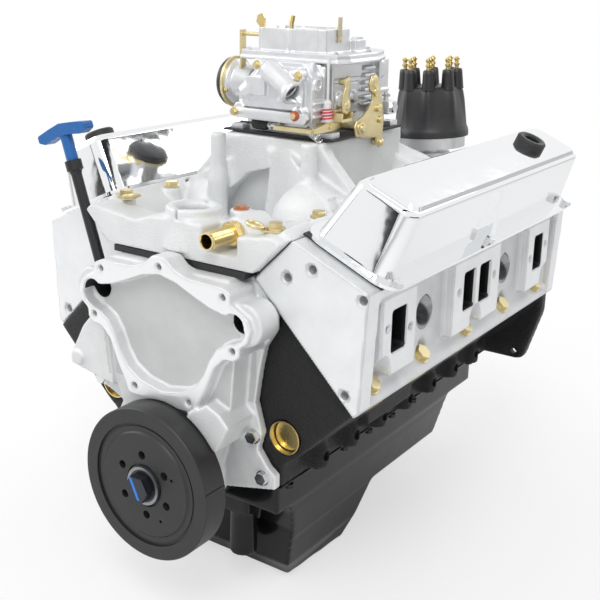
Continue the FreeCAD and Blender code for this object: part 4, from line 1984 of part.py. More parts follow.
def dipstick():
    stem = rod_of("stick_stem", (0, 0, mm.tube_length + 0.3), "z", mm.stick_stem_radius,
                  mm.stem_top - mm.tube_length + 4)
    blade = block_of("stick_blade", (-mm.blade_half_width, -mm.blade_thickness / 2, -4),
                     (mm.blade_half_width, mm.blade_thickness / 2, mm.tube_length + 4))
    handle = slab_of("stick_handle", "y", -mm.handle_width / 2, mm.handle_width, [
        (-mm.handle_length / 2, mm.stem_top + 2), (-mm.handle_length / 2 + 10, mm.stem_top - 2),
        (-10, mm.stem_top + 2), (10, mm.stem_top + 2), (mm.handle_length / 2 - 10, mm.stem_top - 2),
        (mm.handle_length / 2, mm.stem_top + 2), (mm.handle_length / 2, mm.stem_top + 10),
        (mm.handle_length / 4, mm.stem_top + mm.handle_depth - 3),
        (0, mm.stem_top + mm.handle_depth), (-mm.handle_length / 4, mm.stem_top + mm.handle_depth - 3),
        (-mm.handle_length / 2, mm.stem_top + 10)])
    rounded(handle, 3, runs_along(Y_AXIS))
    return node("dipstick", joined("dipstick_body", stem, blade, handle), *stick_place())


dipstick_tube()
dipstick()


# Carburettor: four barrels, with a fuel bowl at each end and the linkage on the left side

mm.add(
    carb_base=366.5, carb_split=387, carb_deck=458, carb_flange=466, carb_half_width=54,
    carb_front=190, carb_rear=306, throttle_height=377, throttle_plate=1.5, throttle_shaft=4,
    venturi=19, flange_half_width=80, horn_half_width=50, horn_front=186, horn_rear=248,
    horn_top=494, horn_wall=4, choke_height=483, choke_station=217, choke_shaft=2.5,
    choke_half_length=23, vent_radius=4.5, vent_top=511, bowl_half_width=50, bowl_front=148,
    bowl_low=387, bowl_top=457, rear_bowl_front=314, rear_bowl_rear=345, inlet_radius=13,
    inlet_bore=9.5, choke_cap_across=-121, choke_cap_radius=29, lever_across=80, lever_thickness=3,
    arm_across=64, pump_pin=3, pump_pin_station=176, pump_pin_height=382.5,
)


def throttle_spots():
    return [(mm.throttle_across * side, mm.carb_station + mm.throttle_spread * end)
            for side in SIDES for end in (-1, 1)]


def shaft_station(end):
    return mm.carb_station + mm.throttle_spread * end


def throttle_body():
    base = slab_of("throttle_base", "z", mm.carb_base, mm.carb_split - mm.carb_base, [
        (-62, 184), (-48, 172), (48, 172), (62, 184), (62, 196), (52, 206), (52, 290), (62, 300),
        (62, 312), (48, 324), (-48, 324), (-62, 312), (-62, 300), (-52, 290), (-52, 206), (-62, 196)])
    rounded(base, 5, runs_along(Z_AXIS))
    lugs = [block_of("stud_lug", (across - 9, station - 9, mm.carb_base), (across + 9, station + 9,
                                                                         mm.carb_base + 9))
            for across in (-66, 66) for station in (mm.carb_station - mm.pad_stud_spread,
                                                   mm.carb_station + mm.pad_stud_spread)]
    cutters = [rod_of("throttle_bore", (*spot, 360), "z", mm.throttle_bore, 40)
               for spot in throttle_spots()]
    for end in (-1, 1):
        cutters.append(rod_of("shaft_hole", (-100, shaft_station(end), mm.throttle_height), "x",
                              mm.throttle_shaft + mm.running_gap, 200))
    for across in (-66, 66):
        for station in (mm.carb_station - mm.pad_stud_spread, mm.carb_station + mm.pad_stud_spread):
            cutters.append(rod_of("stud_hole", (across, station, 360), "z", mm.pad_stud_radius, 30))
    cutters.append(rod_of("pump_pin_hole", (40, mm.pump_pin_station, mm.pump_pin_height), "x",
                          mm.pump_pin + mm.running_gap, 60))
    return node("throttle_body", bored("throttle_casting", joined("throttle_solid", base, *lugs),
                                       *cutters))


def carburettor_body():
    barrel = wedge_of("carb_barrel", mm.carb_split, mm.carb_deck + 1,
                      (-50, 50, mm.carb_front, mm.carb_rear),
                      (-mm.carb_half_width, mm.carb_half_width, mm.carb_front, mm.carb_rear))
    flange = slab_of("carb_deck_plate", "z", mm.carb_deck, mm.carb_flange - mm.carb_deck, [
        (-70, 182), (70, 182), (mm.flange_half_width, 196), (mm.flange_half_width, 262), (64, 306),
        (40, 314), (-40, 314), (-64, 306), (-mm.flange_half_width, 262), (-mm.flange_half_width, 196)])
    rounded(flange, 8, runs_along(Z_AXIS))
    horn = slab_of("choke_horn", "z", mm.carb_deck, mm.horn_top - mm.carb_deck, [
        (-mm.horn_half_width, mm.horn_front), (mm.horn_half_width, mm.horn_front),
        (mm.horn_half_width, mm.horn_rear), (-mm.horn_half_width, mm.horn_rear)])
    rounded(horn, 11, runs_along(Z_AXIS))
    step = slab_of("horn_step", "z", mm.carb_flange - 1, 16, [
        (30, 246), (58, 246), (54, 276), (20, 282), (-20, 282), (-30, 246)])
    room = slab_of("horn_room", "z", mm.carb_flange - 7, 60, [
        (-mm.horn_half_width + mm.horn_wall, mm.horn_front + mm.horn_wall),
        (mm.horn_half_width - mm.horn_wall, mm.horn_front + mm.horn_wall),
        (mm.horn_half_width - mm.horn_wall, mm.horn_rear - mm.horn_wall),
        (-mm.horn_half_width + mm.horn_wall, mm.horn_rear - mm.horn_wall)])
    rounded(room, 7, runs_along(Z_AXIS))
    solids = [barrel, flange, horn, step]
    for across in (-52, 0, 50):
        solids.append(rod_of("vent_tube", (across, mm.horn_front + 1, mm.carb_deck), "z",
                             mm.vent_radius, mm.vent_top - mm.carb_deck))
    solids.append(rod_of("stud_boss", (-6, 290, mm.carb_flange - 1), "z", 8, 8))
    solids.append(block_of("choke_arm", (-100, 206, 404), (-48, 226, 428)))
    solids.append(block_of("link_block", (48, 284, mm.carb_split + 0.3), (86, 304, 404)))
    cutters = [room]
    for across, station in throttle_spots():
        cutters.append(rod_of("venturi_low", (across, station, mm.carb_split - 1), "z",
                              mm.throttle_bore + 0.6, 14))
        cutters.append(rod_of("venturi_bore", (across, station, mm.carb_split), "z", mm.venturi, 100))
    cutters.append(rod_of("choke_hole", (-70, mm.choke_station, mm.choke_height), "x",
                          mm.choke_shaft + mm.running_gap, 140))
    bare = bored("carb_bored", joined("carb_solid", *solids), *cutters)
    boosters = []
    for across, station in throttle_spots():
        ring = bored("booster", rod_of("booster_outer", (across, station, 424), "z", 8, 16),
                     rod_of("booster_inner", (across, station, 420), "z", 5.5, 30))
        outward = 1 if float(across) > 0 else -1
        arm = block_of("booster_arm", (across + (6.5 if outward > 0 else -21), station - 2.5, 428),
                       (across + (21 if outward > 0 else -6.5), station + 2.5, 436))
        boosters += [ring, arm]
    return node("carburettor_body", joined("carburettor_solid", bare, *boosters))


def fuel_bowls():
    """Front and rear bowls with their metering blocks and the fuel inlet."""
    outline = [(-mm.bowl_half_width - 4, 404), (-mm.bowl_half_width - 4, mm.bowl_low),
               (mm.bowl_half_width + 4, mm.bowl_low), (mm.bowl_half_width + 4, 440),
               (mm.bowl_half_width - 10, mm.bowl_top), (-16, mm.bowl_top),
               (-mm.bowl_half_width - 4, 424)]
    front = slab_of("front_bowl", "y", mm.bowl_front + 8, 26, outline)
    rounded(front, 5, runs_along(Y_AXIS))
    nose = slab_of("bowl_nose", "y", mm.bowl_front, 9, [
        (-46, 404), (-46, mm.bowl_low + 14), (44, mm.bowl_low + 14), (44, 436), (34, 450), (-10, 450),
        (-40, 424)])
    bar = block_of("bowl_bar", (-52, mm.bowl_front - 4, mm.bowl_low - 1), (54, mm.bowl_front + 12,
                                                                     mm.bowl_low + 12))
    meter = block_of("front_meter", (-48, mm.bowl_front + 33, mm.bowl_low + 1), (48, mm.carb_front - 0.1,
                                                                             mm.bowl_top - 3))
    inlet = rod_of("inlet_tube", (0, 0, 0), "z", mm.inlet_radius, 46)
    inlet_hole = rod_of("inlet_bore", (0, 0, 14), "z", mm.inlet_bore, 60)
    turned = (Vector(0.054, 0.9985, 0), 111)
    put(inlet, (-13, mm.bowl_front + 8, 440), turned)
    put(inlet_hole, (-13, mm.bowl_front + 8, 440), turned)
    rear = slab_of("rear_bowl", "y", mm.rear_bowl_front, mm.rear_bowl_rear - mm.rear_bowl_front, [
        (-mm.bowl_half_width, mm.bowl_low + 6), (mm.bowl_half_width, mm.bowl_low + 6),
        (mm.bowl_half_width, 452), (36, 464), (-36, 464), (-mm.bowl_half_width, 452)])
    rounded(rear, 5, runs_along(Y_AXIS))
    rear_meter = block_of("rear_meter", (-46, mm.carb_rear + 0.1, mm.bowl_low + 8),
                          (46, mm.rear_bowl_front + 1, mm.bowl_top - 4))
    first = bored("front_bowl_piece", joined("front_bowl_solid", front, nose, bar, meter, inlet),
                  inlet_hole)
    second = joined("rear_bowl_piece", rear, rear_meter)
    return node("fuel_bowls", grouped("bowl_group", first, second))


def choke_housing():
    cap = turned_of("choke_cap", [
        (0, 0), (mm.choke_cap_radius - 6, 0), (mm.choke_cap_radius - 4, 4), (mm.choke_cap_radius, 5),
        (mm.choke_cap_radius, 12), (mm.choke_cap_radius - 4, 14), (mm.choke_cap_radius - 5, 20.8),
        (0, 20.8)], (mm.choke_cap_across, 216, 416), "x")
    return node("choke_housing", grouped("choke_housing_piece", cap))


def throttle_shaft(name, end, *extras):
    station = shaft_station(end)
    reach = mm.lever_across + mm.lever_thickness + 4 if end < 0 else size_of(60)
    rod = rod_of(name + "_rod", (-72, 0, 0), "x", mm.throttle_shaft, reach + 72)
    plates = [rod_of(name + "_plate", (mm.throttle_across * side, 0, -mm.throttle_plate / 2), "z",
                     mm.throttle_bore - 0.1, mm.throttle_plate) for side in SIDES]
    return node(name, joined(name + "_solid", rod, *plates, *extras),
                (0, station, mm.throttle_height))


def primary_throttle():
    """Shaft, plates and the lever for the pedal cable, drawn about the shaft."""
    lever = slab_of("throttle_lever", "x", mm.lever_across, mm.lever_thickness, [
        (-10, -9), (4, -10), (24, -14), (42, -14), (44, -26), (54, -26), (56, -12), (54, 20),
        (42, 56), (30, 66), (18, 64), (16, 50), (26, 44), (28, 22), (8, 10), (-8, 10)])
    rounded(lever, 3.5, runs_along(X_AXIS))
    ball = rod_of("lever_ball", (mm.lever_across - 6, 49, -21), "x", 4.5, 18)
    arm = slab_of("link_arm", "x", -70, 3, [(-7, -7), (7, -7), (6, 20), (-6, 20)])
    return throttle_shaft("primary_throttle", -1, lever, ball, arm)


def secondary_throttle():
    arm = slab_of("secondary_arm", "x", -70, 3, [(-7, -7), (7, -7), (6, 20), (-6, 20)])
    return throttle_shaft("secondary_throttle", 1, arm)


def choke_plate():
    rod = rod_of("choke_rod", (-96, 0, 0), "x", mm.choke_shaft, 150)
    half = mm.horn_half_width - mm.horn_wall - 1
    plate = block_of("choke_flap", (-half, -mm.choke_half_length, -0.6),
                     (half, mm.choke_half_length, 0.6))
    arm = slab_of("choke_link", "x", -96, 3, [(-5, -50), (5, -50), (5, 5), (-5, 5)])
    return node("choke_plate", joined("choke_solid", rod, plate, arm),
                (0, mm.choke_station, mm.choke_height))


def pump_lever():
    """The accelerator pump's lever under the front bowl, on a pin along X."""
    arm = slab_of("pump_arm", "x", mm.arm_across, 4, [(-34, -5), (4, -6), (22, -4), (22, 2), (4, 6),
                                                     (-34, 1)])
    foot = block_of("pump_foot", (10, -36, -5), (mm.arm_across + 1, -26, 0))
    pin = rod_of("pump_pivot", (50, 0, 0), "x", mm.pump_pin, 20)
    return node("pump_lever", joined("pump_lever_solid", arm, foot, pin),
                (0, mm.pump_pin_station, mm.pump_pin_height))


throttle_body()
carburettor_body()
fuel_bowls()
choke_housing()
primary_throttle()
secondary_throttle()
choke_plate()
pump_lever()


# Check and write every piece

doc.recompute()
failed = [thing.Name for thing in doc.Objects if {"Invalid", "Error"} & set(thing.State)]
failed += [label for label, thing in nodes.items() if thing.Shape.isNull() or not thing.Shape.isValid()]
if failed:
    raise RuntimeError(f"these failed: {failed}")
os.makedirs("parts", exist_ok=True)
for label, thing in nodes.items():
    thing.Shape.exportStep(f"parts/{label}.step")
    print(label, len(thing.Shape.Solids), round(thing.Shape.Volume))
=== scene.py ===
"""A complete V8 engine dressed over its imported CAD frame, in metres, lit as in a pale studio."""
import math

import bmesh
import bpy
import numpy as np
from mathutils import Matrix, Vector


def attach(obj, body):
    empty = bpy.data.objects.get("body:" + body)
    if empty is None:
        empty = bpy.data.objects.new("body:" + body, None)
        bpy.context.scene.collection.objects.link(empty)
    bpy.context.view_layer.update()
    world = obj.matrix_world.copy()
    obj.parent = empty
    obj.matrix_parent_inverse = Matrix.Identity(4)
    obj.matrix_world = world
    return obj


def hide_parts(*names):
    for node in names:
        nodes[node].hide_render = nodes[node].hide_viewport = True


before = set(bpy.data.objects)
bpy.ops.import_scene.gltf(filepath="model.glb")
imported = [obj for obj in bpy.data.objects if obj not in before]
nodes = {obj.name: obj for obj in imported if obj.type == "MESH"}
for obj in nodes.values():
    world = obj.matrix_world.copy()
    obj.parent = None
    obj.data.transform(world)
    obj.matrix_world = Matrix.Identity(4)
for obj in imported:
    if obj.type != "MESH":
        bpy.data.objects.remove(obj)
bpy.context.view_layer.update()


# The engine block is one iron casting, painted black over its sand-cast skin. Its edges are
# rounded where the mould drew, and the front and rear faces are left flat for their gaskets.

FLANGE_END = 567.0
ENGINE = "engine_body"


def spot(across, station, up):
    """A point in metres from millimetres across, behind the block's front face, and up."""
    return Vector((across / 1000, (station - FLANGE_END) / 1000, up / 1000))


class Wire:
    """A value inside a material. Arithmetic on it adds the Math nodes."""

    def __init__(self, finish, socket):
        self.finish = finish
        self.socket = socket

    def math(self, operation, *others):
        return self.finish.node("ShaderNodeMath", {"operation": operation}, self, *others)

    def __add__(self, other):
        return self.math("ADD", other)

    def __sub__(self, other):
        return self.math("SUBTRACT", other)

    def __mul__(self, other):
        return self.math("MULTIPLY", other)

    def __truediv__(self, other):
        return self.math("DIVIDE", other)

    def __rsub__(self, other):
        return self.finish.node("ShaderNodeMath", {"operation": "SUBTRACT"}, other, self)

    __radd__ = __add__
    __rmul__ = __mul__

    def size(self):
        return self.math("ABSOLUTE")

    def most(self, other):
        return self.math("MAXIMUM", other)

    def above(self, limit, soft=0.0):
        """1 past a limit and 0 before it, over a soft width."""
        if not soft:
            return self.math("GREATER_THAN", limit)
        return self.finish.node("ShaderNodeMapRange", {"interpolation_type": "SMOOTHSTEP"}, self,
                                limit - soft, limit + soft, 0.0, 1.0)

    def below(self, limit, soft=0.0):
        return 1 - self.above(limit, soft)

    def near(self, middle, reach, soft=0.0):
        return (self - middle).size().below(reach, soft)


class Finish:
    """A material whose nodes are added as they are asked for."""

    def __init__(self, name, **constants):
        self.material = bpy.data.materials.new(name)
        self.material.use_nodes = True
        self.tree = self.material.node_tree
        self.shader = self.tree.nodes["Principled BSDF"]
        for socket, value in constants.items():
            self.shader.inputs[socket.replace("_", " ")].default_value = value
        self.place = self.node("ShaderNodeTexCoord", out="Object")
        self.facing = self.node("ShaderNodeTexCoord", out="Normal")

    def node(self, kind, settings=None, *values, out=0, **named):
        made = self.tree.nodes.new(kind)
        for key, value in (settings or {}).items():
            if key == "stops":
                ramp = made.color_ramp.elements
                while len(ramp) < len(value):
                    ramp.new(0.5)
                for stop, (where, colour) in zip(ramp, value):
                    stop.position = where
                    stop.color = (*colour, 1)
            else:
                setattr(made, key, value)
        for key, value in [*enumerate(values), *named.items()]:
            socket = made.inputs[key.replace("_", " ") if isinstance(key, str) else key]
            if isinstance(value, Wire):
                self.tree.links.new(value.socket, socket)
            else:
                socket.default_value = value
        return Wire(self, made.outputs[out])

    def split(self, vector):
        made = self.tree.nodes.new("ShaderNodeSeparateXYZ")
        self.tree.links.new(vector.socket, made.inputs[0])
        return [Wire(self, socket) for socket in made.outputs]

    def stretch(self, x, y, z):
        return self.node("ShaderNodeMapping", None, self.place, Scale=(x, y, z))

    def grain(self, scale, detail=3.0, rough=0.5, where=None):
        """Noise between 0 and 1, with so many grains in a metre."""
        return self.node("ShaderNodeTexNoise", None, out="Fac", Vector=where or self.place,
                         Scale=scale, Detail=detail, Roughness=rough)

    def cells(self, scale, where=None):
        return self.node("ShaderNodeTexVoronoi", None, out="Distance", Vector=where or self.place,
                         Scale=scale)

    def blend(self, factor, first, second):
        """Two colours mixed by a factor."""
        ends = [value if isinstance(value, Wire) else (*value, 1) for value in (first, second)]
        made = self.tree.nodes.new("ShaderNodeMix")
        made.data_type = "RGBA"
        for number, value in ((0, factor), (6, ends[0]), (7, ends[1])):
            if isinstance(value, Wire):
                self.tree.links.new(value.socket, made.inputs[number])
            else:
                made.inputs[number].default_value = value
        return Wire(self, made.outputs[2])

    def relief(self, height, depth, strength=1.0):
        return self.node("ShaderNodeBump", None, Strength=strength, Distance=depth, Height=height)

    def set(self, **wires):
        for socket, wire in wires.items():
            self.tree.links.new(wire.socket, self.shader.inputs[socket.replace("_", " ")])
        return self.material


def dress(name, material):
    """Give a CAD node its finish."""
    mesh = nodes[name].data
    mesh.materials.clear()
    mesh.materials.append(material)


def finished(name, mesh, material, body=ENGINE, replaced=()):
    """A new piece in the frame, with its material and the body that it rides on."""
    piece = bpy.data.objects.new(name, mesh)
    bpy.context.scene.collection.objects.link(piece)
    if material is not None:
        mesh.materials.clear()
        mesh.materials.append(material)
    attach(piece, body)
    if replaced:
        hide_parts(*replaced)
    return piece


def evaluated(piece):
    """The mesh of an object with its modifiers applied, and the object gone."""
    bpy.context.view_layer.update()
    view = piece.evaluated_get(bpy.context.evaluated_depsgraph_get())
    mesh = bpy.data.meshes.new_from_object(view)
    bpy.data.objects.remove(piece)
    return mesh


def lathe(profile, at, along=(0, 0, 1), steps=32, swell=None, squeeze=(1, 1)):
    """A turned shape: radius and height pairs about an axis through a point, in millimetres."""
    turn = Vector(along).normalized().to_track_quat("Z", "Y")
    points = []
    for radius, height in profile:
        for step in range(steps):
            angle = 2 * math.pi * step / steps
            reach = radius + (swell(angle, height) if swell else 0)
            points.append(Vector(at) + turn @ Vector((reach * math.cos(angle) * squeeze[0],
                                                      reach * math.sin(angle) * squeeze[1], height)))
    faces = [tuple(range(steps))[::-1], tuple(range(len(points) - steps, len(points)))]
    for row in range(len(profile) - 1):
        for step in range(steps):
            after = (step + 1) % steps
            faces.append((row * steps + step, row * steps + after,
                          (row + 1) * steps + after, (row + 1) * steps + step))
    return points, faces


def ball(at, radii, steps=32):
    """An egg shape by its three radii."""
    points, faces = lathe([(math.sin(math.pi * row / 16), -math.cos(math.pi * row / 16))
                           for row in range(17)], (0, 0, 0), steps=steps)
    return [Vector(at) + Vector([p * r for p, r in zip(point, radii)]) for point in points], faces


def made(name, *shapes, angle=35):
    """One mesh from shapes in millimetres and stations, with its faces turned outwards."""
    work = bmesh.new()
    for points, faces in shapes:
        corners = [work.verts.new(spot(*point)) for point in points]
        for face in faces:
            work.faces.new([corners[index] for index in face])
    bmesh.ops.remove_doubles(work, verts=work.verts, dist=2e-6)
    bmesh.ops.dissolve_degenerate(work, edges=work.edges, dist=2e-6)
    bmesh.ops.recalc_face_normals(work, faces=work.faces)
    for edge in work.edges:
        edge.smooth = len(edge.link_faces) == 2 and edge.calc_face_angle(3.2) < math.radians(angle)
    for face in work.faces:
        face.smooth = True
    mesh = bpy.data.meshes.new(name)
    work.to_mesh(mesh)
    work.free()
    return mesh


def cast_mesh(node, grain, rounds, keep=1.0, add=(), cut=()):
    """A copy of a node's solids, with any more shapes, and the soft edges of a casting."""
    mesh = nodes[node].data.copy() if node else bpy.data.meshes.new("casting")
    work = bmesh.new()
    work.from_mesh(mesh)
    if add:
        work.from_mesh(made("casting_more", *add))
    bmesh.ops.remove_doubles(work, verts=work.verts, dist=1e-6)
    work.to_mesh(mesh)
    work.free()
    piece = bpy.data.objects.new("casting_work", mesh)
    bpy.context.scene.collection.objects.link(piece)
    cutters = []
    for shape in cut:
        cutters.append(bpy.data.objects.new("casting_cutter", made("casting_cutter", shape)))
        bpy.context.scene.collection.objects.link(cutters[-1])
    remesh = piece.modifiers.new("skin", "REMESH")
    remesh.mode = "VOXEL"
    remesh.voxel_size = grain
    remesh.use_smooth_shade = True
    soften = piece.modifiers.new("soften", "SMOOTH")
    soften.factor = 0.5
    soften.iterations = rounds
    for cutter in cutters:
        carve = piece.modifiers.new("carve", "BOOLEAN")
        carve.operation = "DIFFERENCE"
        carve.solver = "EXACT"
        carve.object = cutter
    if keep < 1:
        thin = piece.modifiers.new("thin", "DECIMATE")
        thin.ratio = keep
    result = evaluated(piece)
    for cutter in cutters:
        bpy.data.objects.remove(cutter)
    for face in result.polygons:
        face.use_smooth = True
    return result


block_paint = Finish("block_paint", Metallic=0.0, Specular_IOR_Level=0.32, Coat_Roughness=0.2,
                     Coat_Weight=0.08)
lumps = block_paint.grain(420, 4, 0.6)
pits = block_paint.cells(600)
block_paint.set(
    Base_Color=block_paint.blend(block_paint.grain(60), (0.004, 0.004, 0.0045), (0.014, 0.014, 0.015)),
    Roughness=0.34 + 0.3 * lumps,
    Normal=block_paint.relief(lumps + pits * 0.5, 0.0022))
FIRST_LUG, LUG_STEP, LUG_COUNT = 70, 69, 7
LUG_ACROSS, LUG_HOLE_ACROSS, LUG_HOLE_HEIGHT = 131, 138, 16
LUG_PROFILE = [(13.5, 1), (13.5, 24), (10, 34), (4, 40)]
LUG_HOLE_PROFILE = [(6.5, 0), (6.5, 14)]
lugs, lug_holes = [], []
for outward in (-1, 1):
    for number in range(LUG_COUNT):
        station = FIRST_LUG + LUG_STEP * number
        lugs.append(lathe(LUG_PROFILE, (LUG_ACROSS * outward, station, 0), steps=24))
        lug_holes.append(lathe(LUG_HOLE_PROFILE, (LUG_HOLE_ACROSS * outward, station, LUG_HOLE_HEIGHT),
                               (outward, 0, 0.15), 20))
finished("block_casting", cast_mesh("engine_block", 0.0034, 3, 0.75, add=lugs, cut=lug_holes),
         block_paint.material, replaced=["engine_block"])


# The freeze plugs are thin brass cups pressed into the block's core holes. The crank and its caps
# are forged and cast iron, machined bright on the journals.

def metal(name, colour, roughness, grain=300, depth=0.0001, spread=0.12, metallic=1.0):
    """A bare or plated metal with fine marks."""
    finish = Finish(name, Metallic=metallic)
    marks = finish.grain(grain, 4, 0.6)
    dull = tuple(part * 0.8 for part in colour)
    finish.set(Base_Color=finish.blend(finish.grain(grain / 6), dull, colour),
               Roughness=(roughness - spread / 2) + spread * marks,
               Normal=finish.relief(marks, depth, 0.6))
    return finish.material


plug_brass = metal("plug_brass", (0.86, 0.68, 0.3), 0.24)
dress("freeze_plugs", plug_brass)
forged_steel = metal("forged_steel", (0.42, 0.42, 0.43), 0.38, 500)
for name in ("crankshaft", "connecting_rods", "rod_caps", "wrist_pins", "main_cap_bolts",
             "camshaft", "lifters", "pushrods", "rocker_arms", "rocker_shafts", "valve_springs",
             "valve_retainers", "intake_valves", "exhaust_valves", "crank_sprocket", "cam_sprocket",
             "timing_chain", "cam_bolt", "oil_pump", "piston_rings", "distributor_shaft"):
    dress(name, forged_steel)
dress("main_bearing_caps", block_paint.material)
dress("main_bearings", metal("bearing_lining", (0.6, 0.59, 0.56), 0.4))
dress("pistons", metal("piston_alloy", (0.7, 0.7, 0.7), 0.4))


# The cylinder heads are cast aluminium, milled flat at both ends, on the deck and on the exhaust
# pads. The cast skin stays between. The ports are painted near-black inside as shade, the plug
# pockets are painted darker as shade in their recess, and each plug hole has a painted shadow.

HEAD_LENGTH = 546
HEAD_STARTS = {"left": -16, "right": 7}
PORT_OFFSETS = (-195.3, -22.1, 22.1, 195.3)


def head_finish(side):
    start = HEAD_STARTS[side]
    finish = Finish(f"head_alloy_{side}")
    across, along, up = finish.split(finish.place)
    nx, ny, nz = finish.split(finish.facing)
    ends = ny.size().above(0.96, 0.02)
    pads = nx.size().above(0.97, 0.02) * across.size().above(0.2325)
    milled = ends.most(pads)
    skin = finish.grain(700, 3, 0.6)
    stains = finish.grain(26, 4, 0.6)
    lines = finish.grain(1.0, 2, 0.5, finish.stretch(900, 900, 60))
    # Painted shade: the inside of each exhaust port is painted near-black, where little light reaches.
    port_shade = None
    for offset in PORT_OFFSETS:
        middle = (start + HEAD_LENGTH / 2 + offset - FLANGE_END) / 1000
        inside = along.near(middle, 0.0157) * up.near(0.197, 0.0247)
        port_shade = inside if port_shade is None else port_shade.most(inside)
    port_shade = port_shade * across.size().near(0.210, 0.0232)
    # The plug pockets are machined spot faces, more metallic and smoother; their darker grey is painted
    # shade in the recess.
    pocket = depth = None
    for offset in (-112, 112):
        middle = (start + HEAD_LENGTH / 2 + offset - FLANGE_END) / 1000
        cone = ((along - middle) * (along - middle) + (up - 0.190) * (up - 0.190)).below(0.0205 ** 2)
        pocket = cone if pocket is None else pocket.most(cone)
        # Painted shadow: a near-black disc over each plug hole, kept in the depth mask.
        shade = ((along - middle - 0.003) * (along - middle - 0.003)
                 + (up - 0.186) * (up - 0.186)).below(0.0125 ** 2, 0.00004)
        depth = shade if depth is None else depth.most(shade)
    pocket = pocket * across.size().near(0.2125, 0.0155)
    bright = finish.blend(stains, (0.74, 0.75, 0.76), (0.9, 0.91, 0.92))
    cast = finish.blend(stains, (0.56, 0.57, 0.58), (0.8, 0.81, 0.82))
    colour = finish.blend(pocket, finish.blend(milled, cast, bright), (0.34, 0.35, 0.36))
    colour = finish.blend(pocket * depth, colour, (0.05, 0.05, 0.055))
    colour = finish.blend(port_shade, colour, (0.006, 0.006, 0.006))
    finish.set(Base_Color=colour,
               Metallic=(0.55 + 0.2 * milled + 0.3 * pocket) * (1 - port_shade),
               Roughness=0.5 - 0.14 * milled - 0.34 * pocket + 0.12 * skin,
               Normal=finish.relief(skin * (1 - milled) + lines * milled * 0.1, 0.0007, 0.8))
    return finish.material


END_HOLES = {
    "left": [(141, 254), (171.5, 268), (232.4, 246.9), (214.5, 140.5), (112, 186)],
    "right": [(-141, 254.7), (-171.5, 268), (-214.5, 140.5), (-112, 186)],
}
for side in ("left", "right"):
    holes = [lathe([(6.4, -2), (6.4, 0.6), (5, 2), (5, 16)],
                   (across, HEAD_STARTS[side], height), (0, 1, 0), 20)
             for across, height in END_HOLES[side]]
    centre = HEAD_STARTS[side] + HEAD_LENGTH / 2
    outward = 1 if side == "left" else -1
    for offset in (-112, 112):
        holes.append(lathe([(5, 0), (21, 17), (21, 23)], (206 * outward, centre + offset, 184),
                           (outward, 0, 0.35), 28))
    finished(f"head_casting_{side}", cast_mesh(f"cylinder_head_{side}", 0.0026, 1, 0.8, cut=holes),
             head_finish(side), replaced=[f"cylinder_head_{side}"])
gold_zinc = metal("gold_zinc", (0.82, 0.7, 0.4), 0.36, 400)
dress("head_bolts", gold_zinc)


# The valve covers are steel pressings, polished and chromed. Rubber grommets grip their breather
# holes, and plated bolts hold their flanges.

def smooth_copy(node, angle=32, merge=1e-5):
    """A copy of a CAD node, shaded smooth over its curved faces."""
    mesh = nodes[node].data.copy()
    work = bmesh.new()
    work.from_mesh(mesh)
    bmesh.ops.remove_doubles(work, verts=work.verts, dist=merge)
    for edge in work.edges:
        edge.smooth = len(edge.link_faces) == 2 and edge.calc_face_angle(3.2) < math.radians(angle)
    for face in work.faces:
        face.smooth = True
    work.to_mesh(mesh)
    work.free()
    return mesh


chrome = Finish("cover_chrome", Metallic=1.0, Base_Color=(0.86, 0.87, 0.88, 1))
waves = chrome.grain(22, 2, 0.5)
chrome.set(Roughness=0.045 + 0.05 * chrome.grain(160, 3), Normal=chrome.relief(waves, 0.0009, 0.5))
for side in ("left", "right"):
    finished(f"cover_pressing_{side}", smooth_copy(f"valve_cover_{side}"), chrome.material,
             replaced=[f"valve_cover_{side}"])
rubber = metal("black_rubber", (0.02, 0.02, 0.021), 0.55, 600, 0.0002, metallic=0.0)
dress("valve_cover_grommets", rubber)
bright_zinc = metal("bright_zinc", (0.78, 0.79, 0.8), 0.25, 400)
dress("valve_cover_bolts", bright_zinc)
dress("timing_cover_bolts", bright_zinc)
dress("drain_plug", bright_zinc)


# The intake manifold is a sand casting in aluminium, left as cast, with its bolts in spot faces.
# Its lifting rings and bolts are yellow zinc, and the hose nipple and plug are screwed in.

def prism(outline, low, high, along):
    """An outline drawn square to an axis, carried from one place on it to another."""
    order = {"x": (2, 0, 1), "y": (0, 2, 1), "z": (0, 1, 2)}[along]
    points = []
    for level in (low, high):
        for one, two in outline:
            point = (one, two, level)
            points.append(tuple(point[index] for index in order))
    count = len(outline)
    faces = [tuple(range(count)), tuple(range(count, 2 * count))]
    faces += [(index, (index + 1) % count, (index + 1) % count + count, index + count)
              for index in range(count)]
    return points, faces


def webs(side):
    """The sloping wall at the plenum's front corner."""
    return prism([(50 * side, 362), (72 * side, 362), (84 * side, 348), (118 * side, 312),
                  (124 * side, 296), (124 * side, 262), (50 * side, 262)], 150, 168, "y")


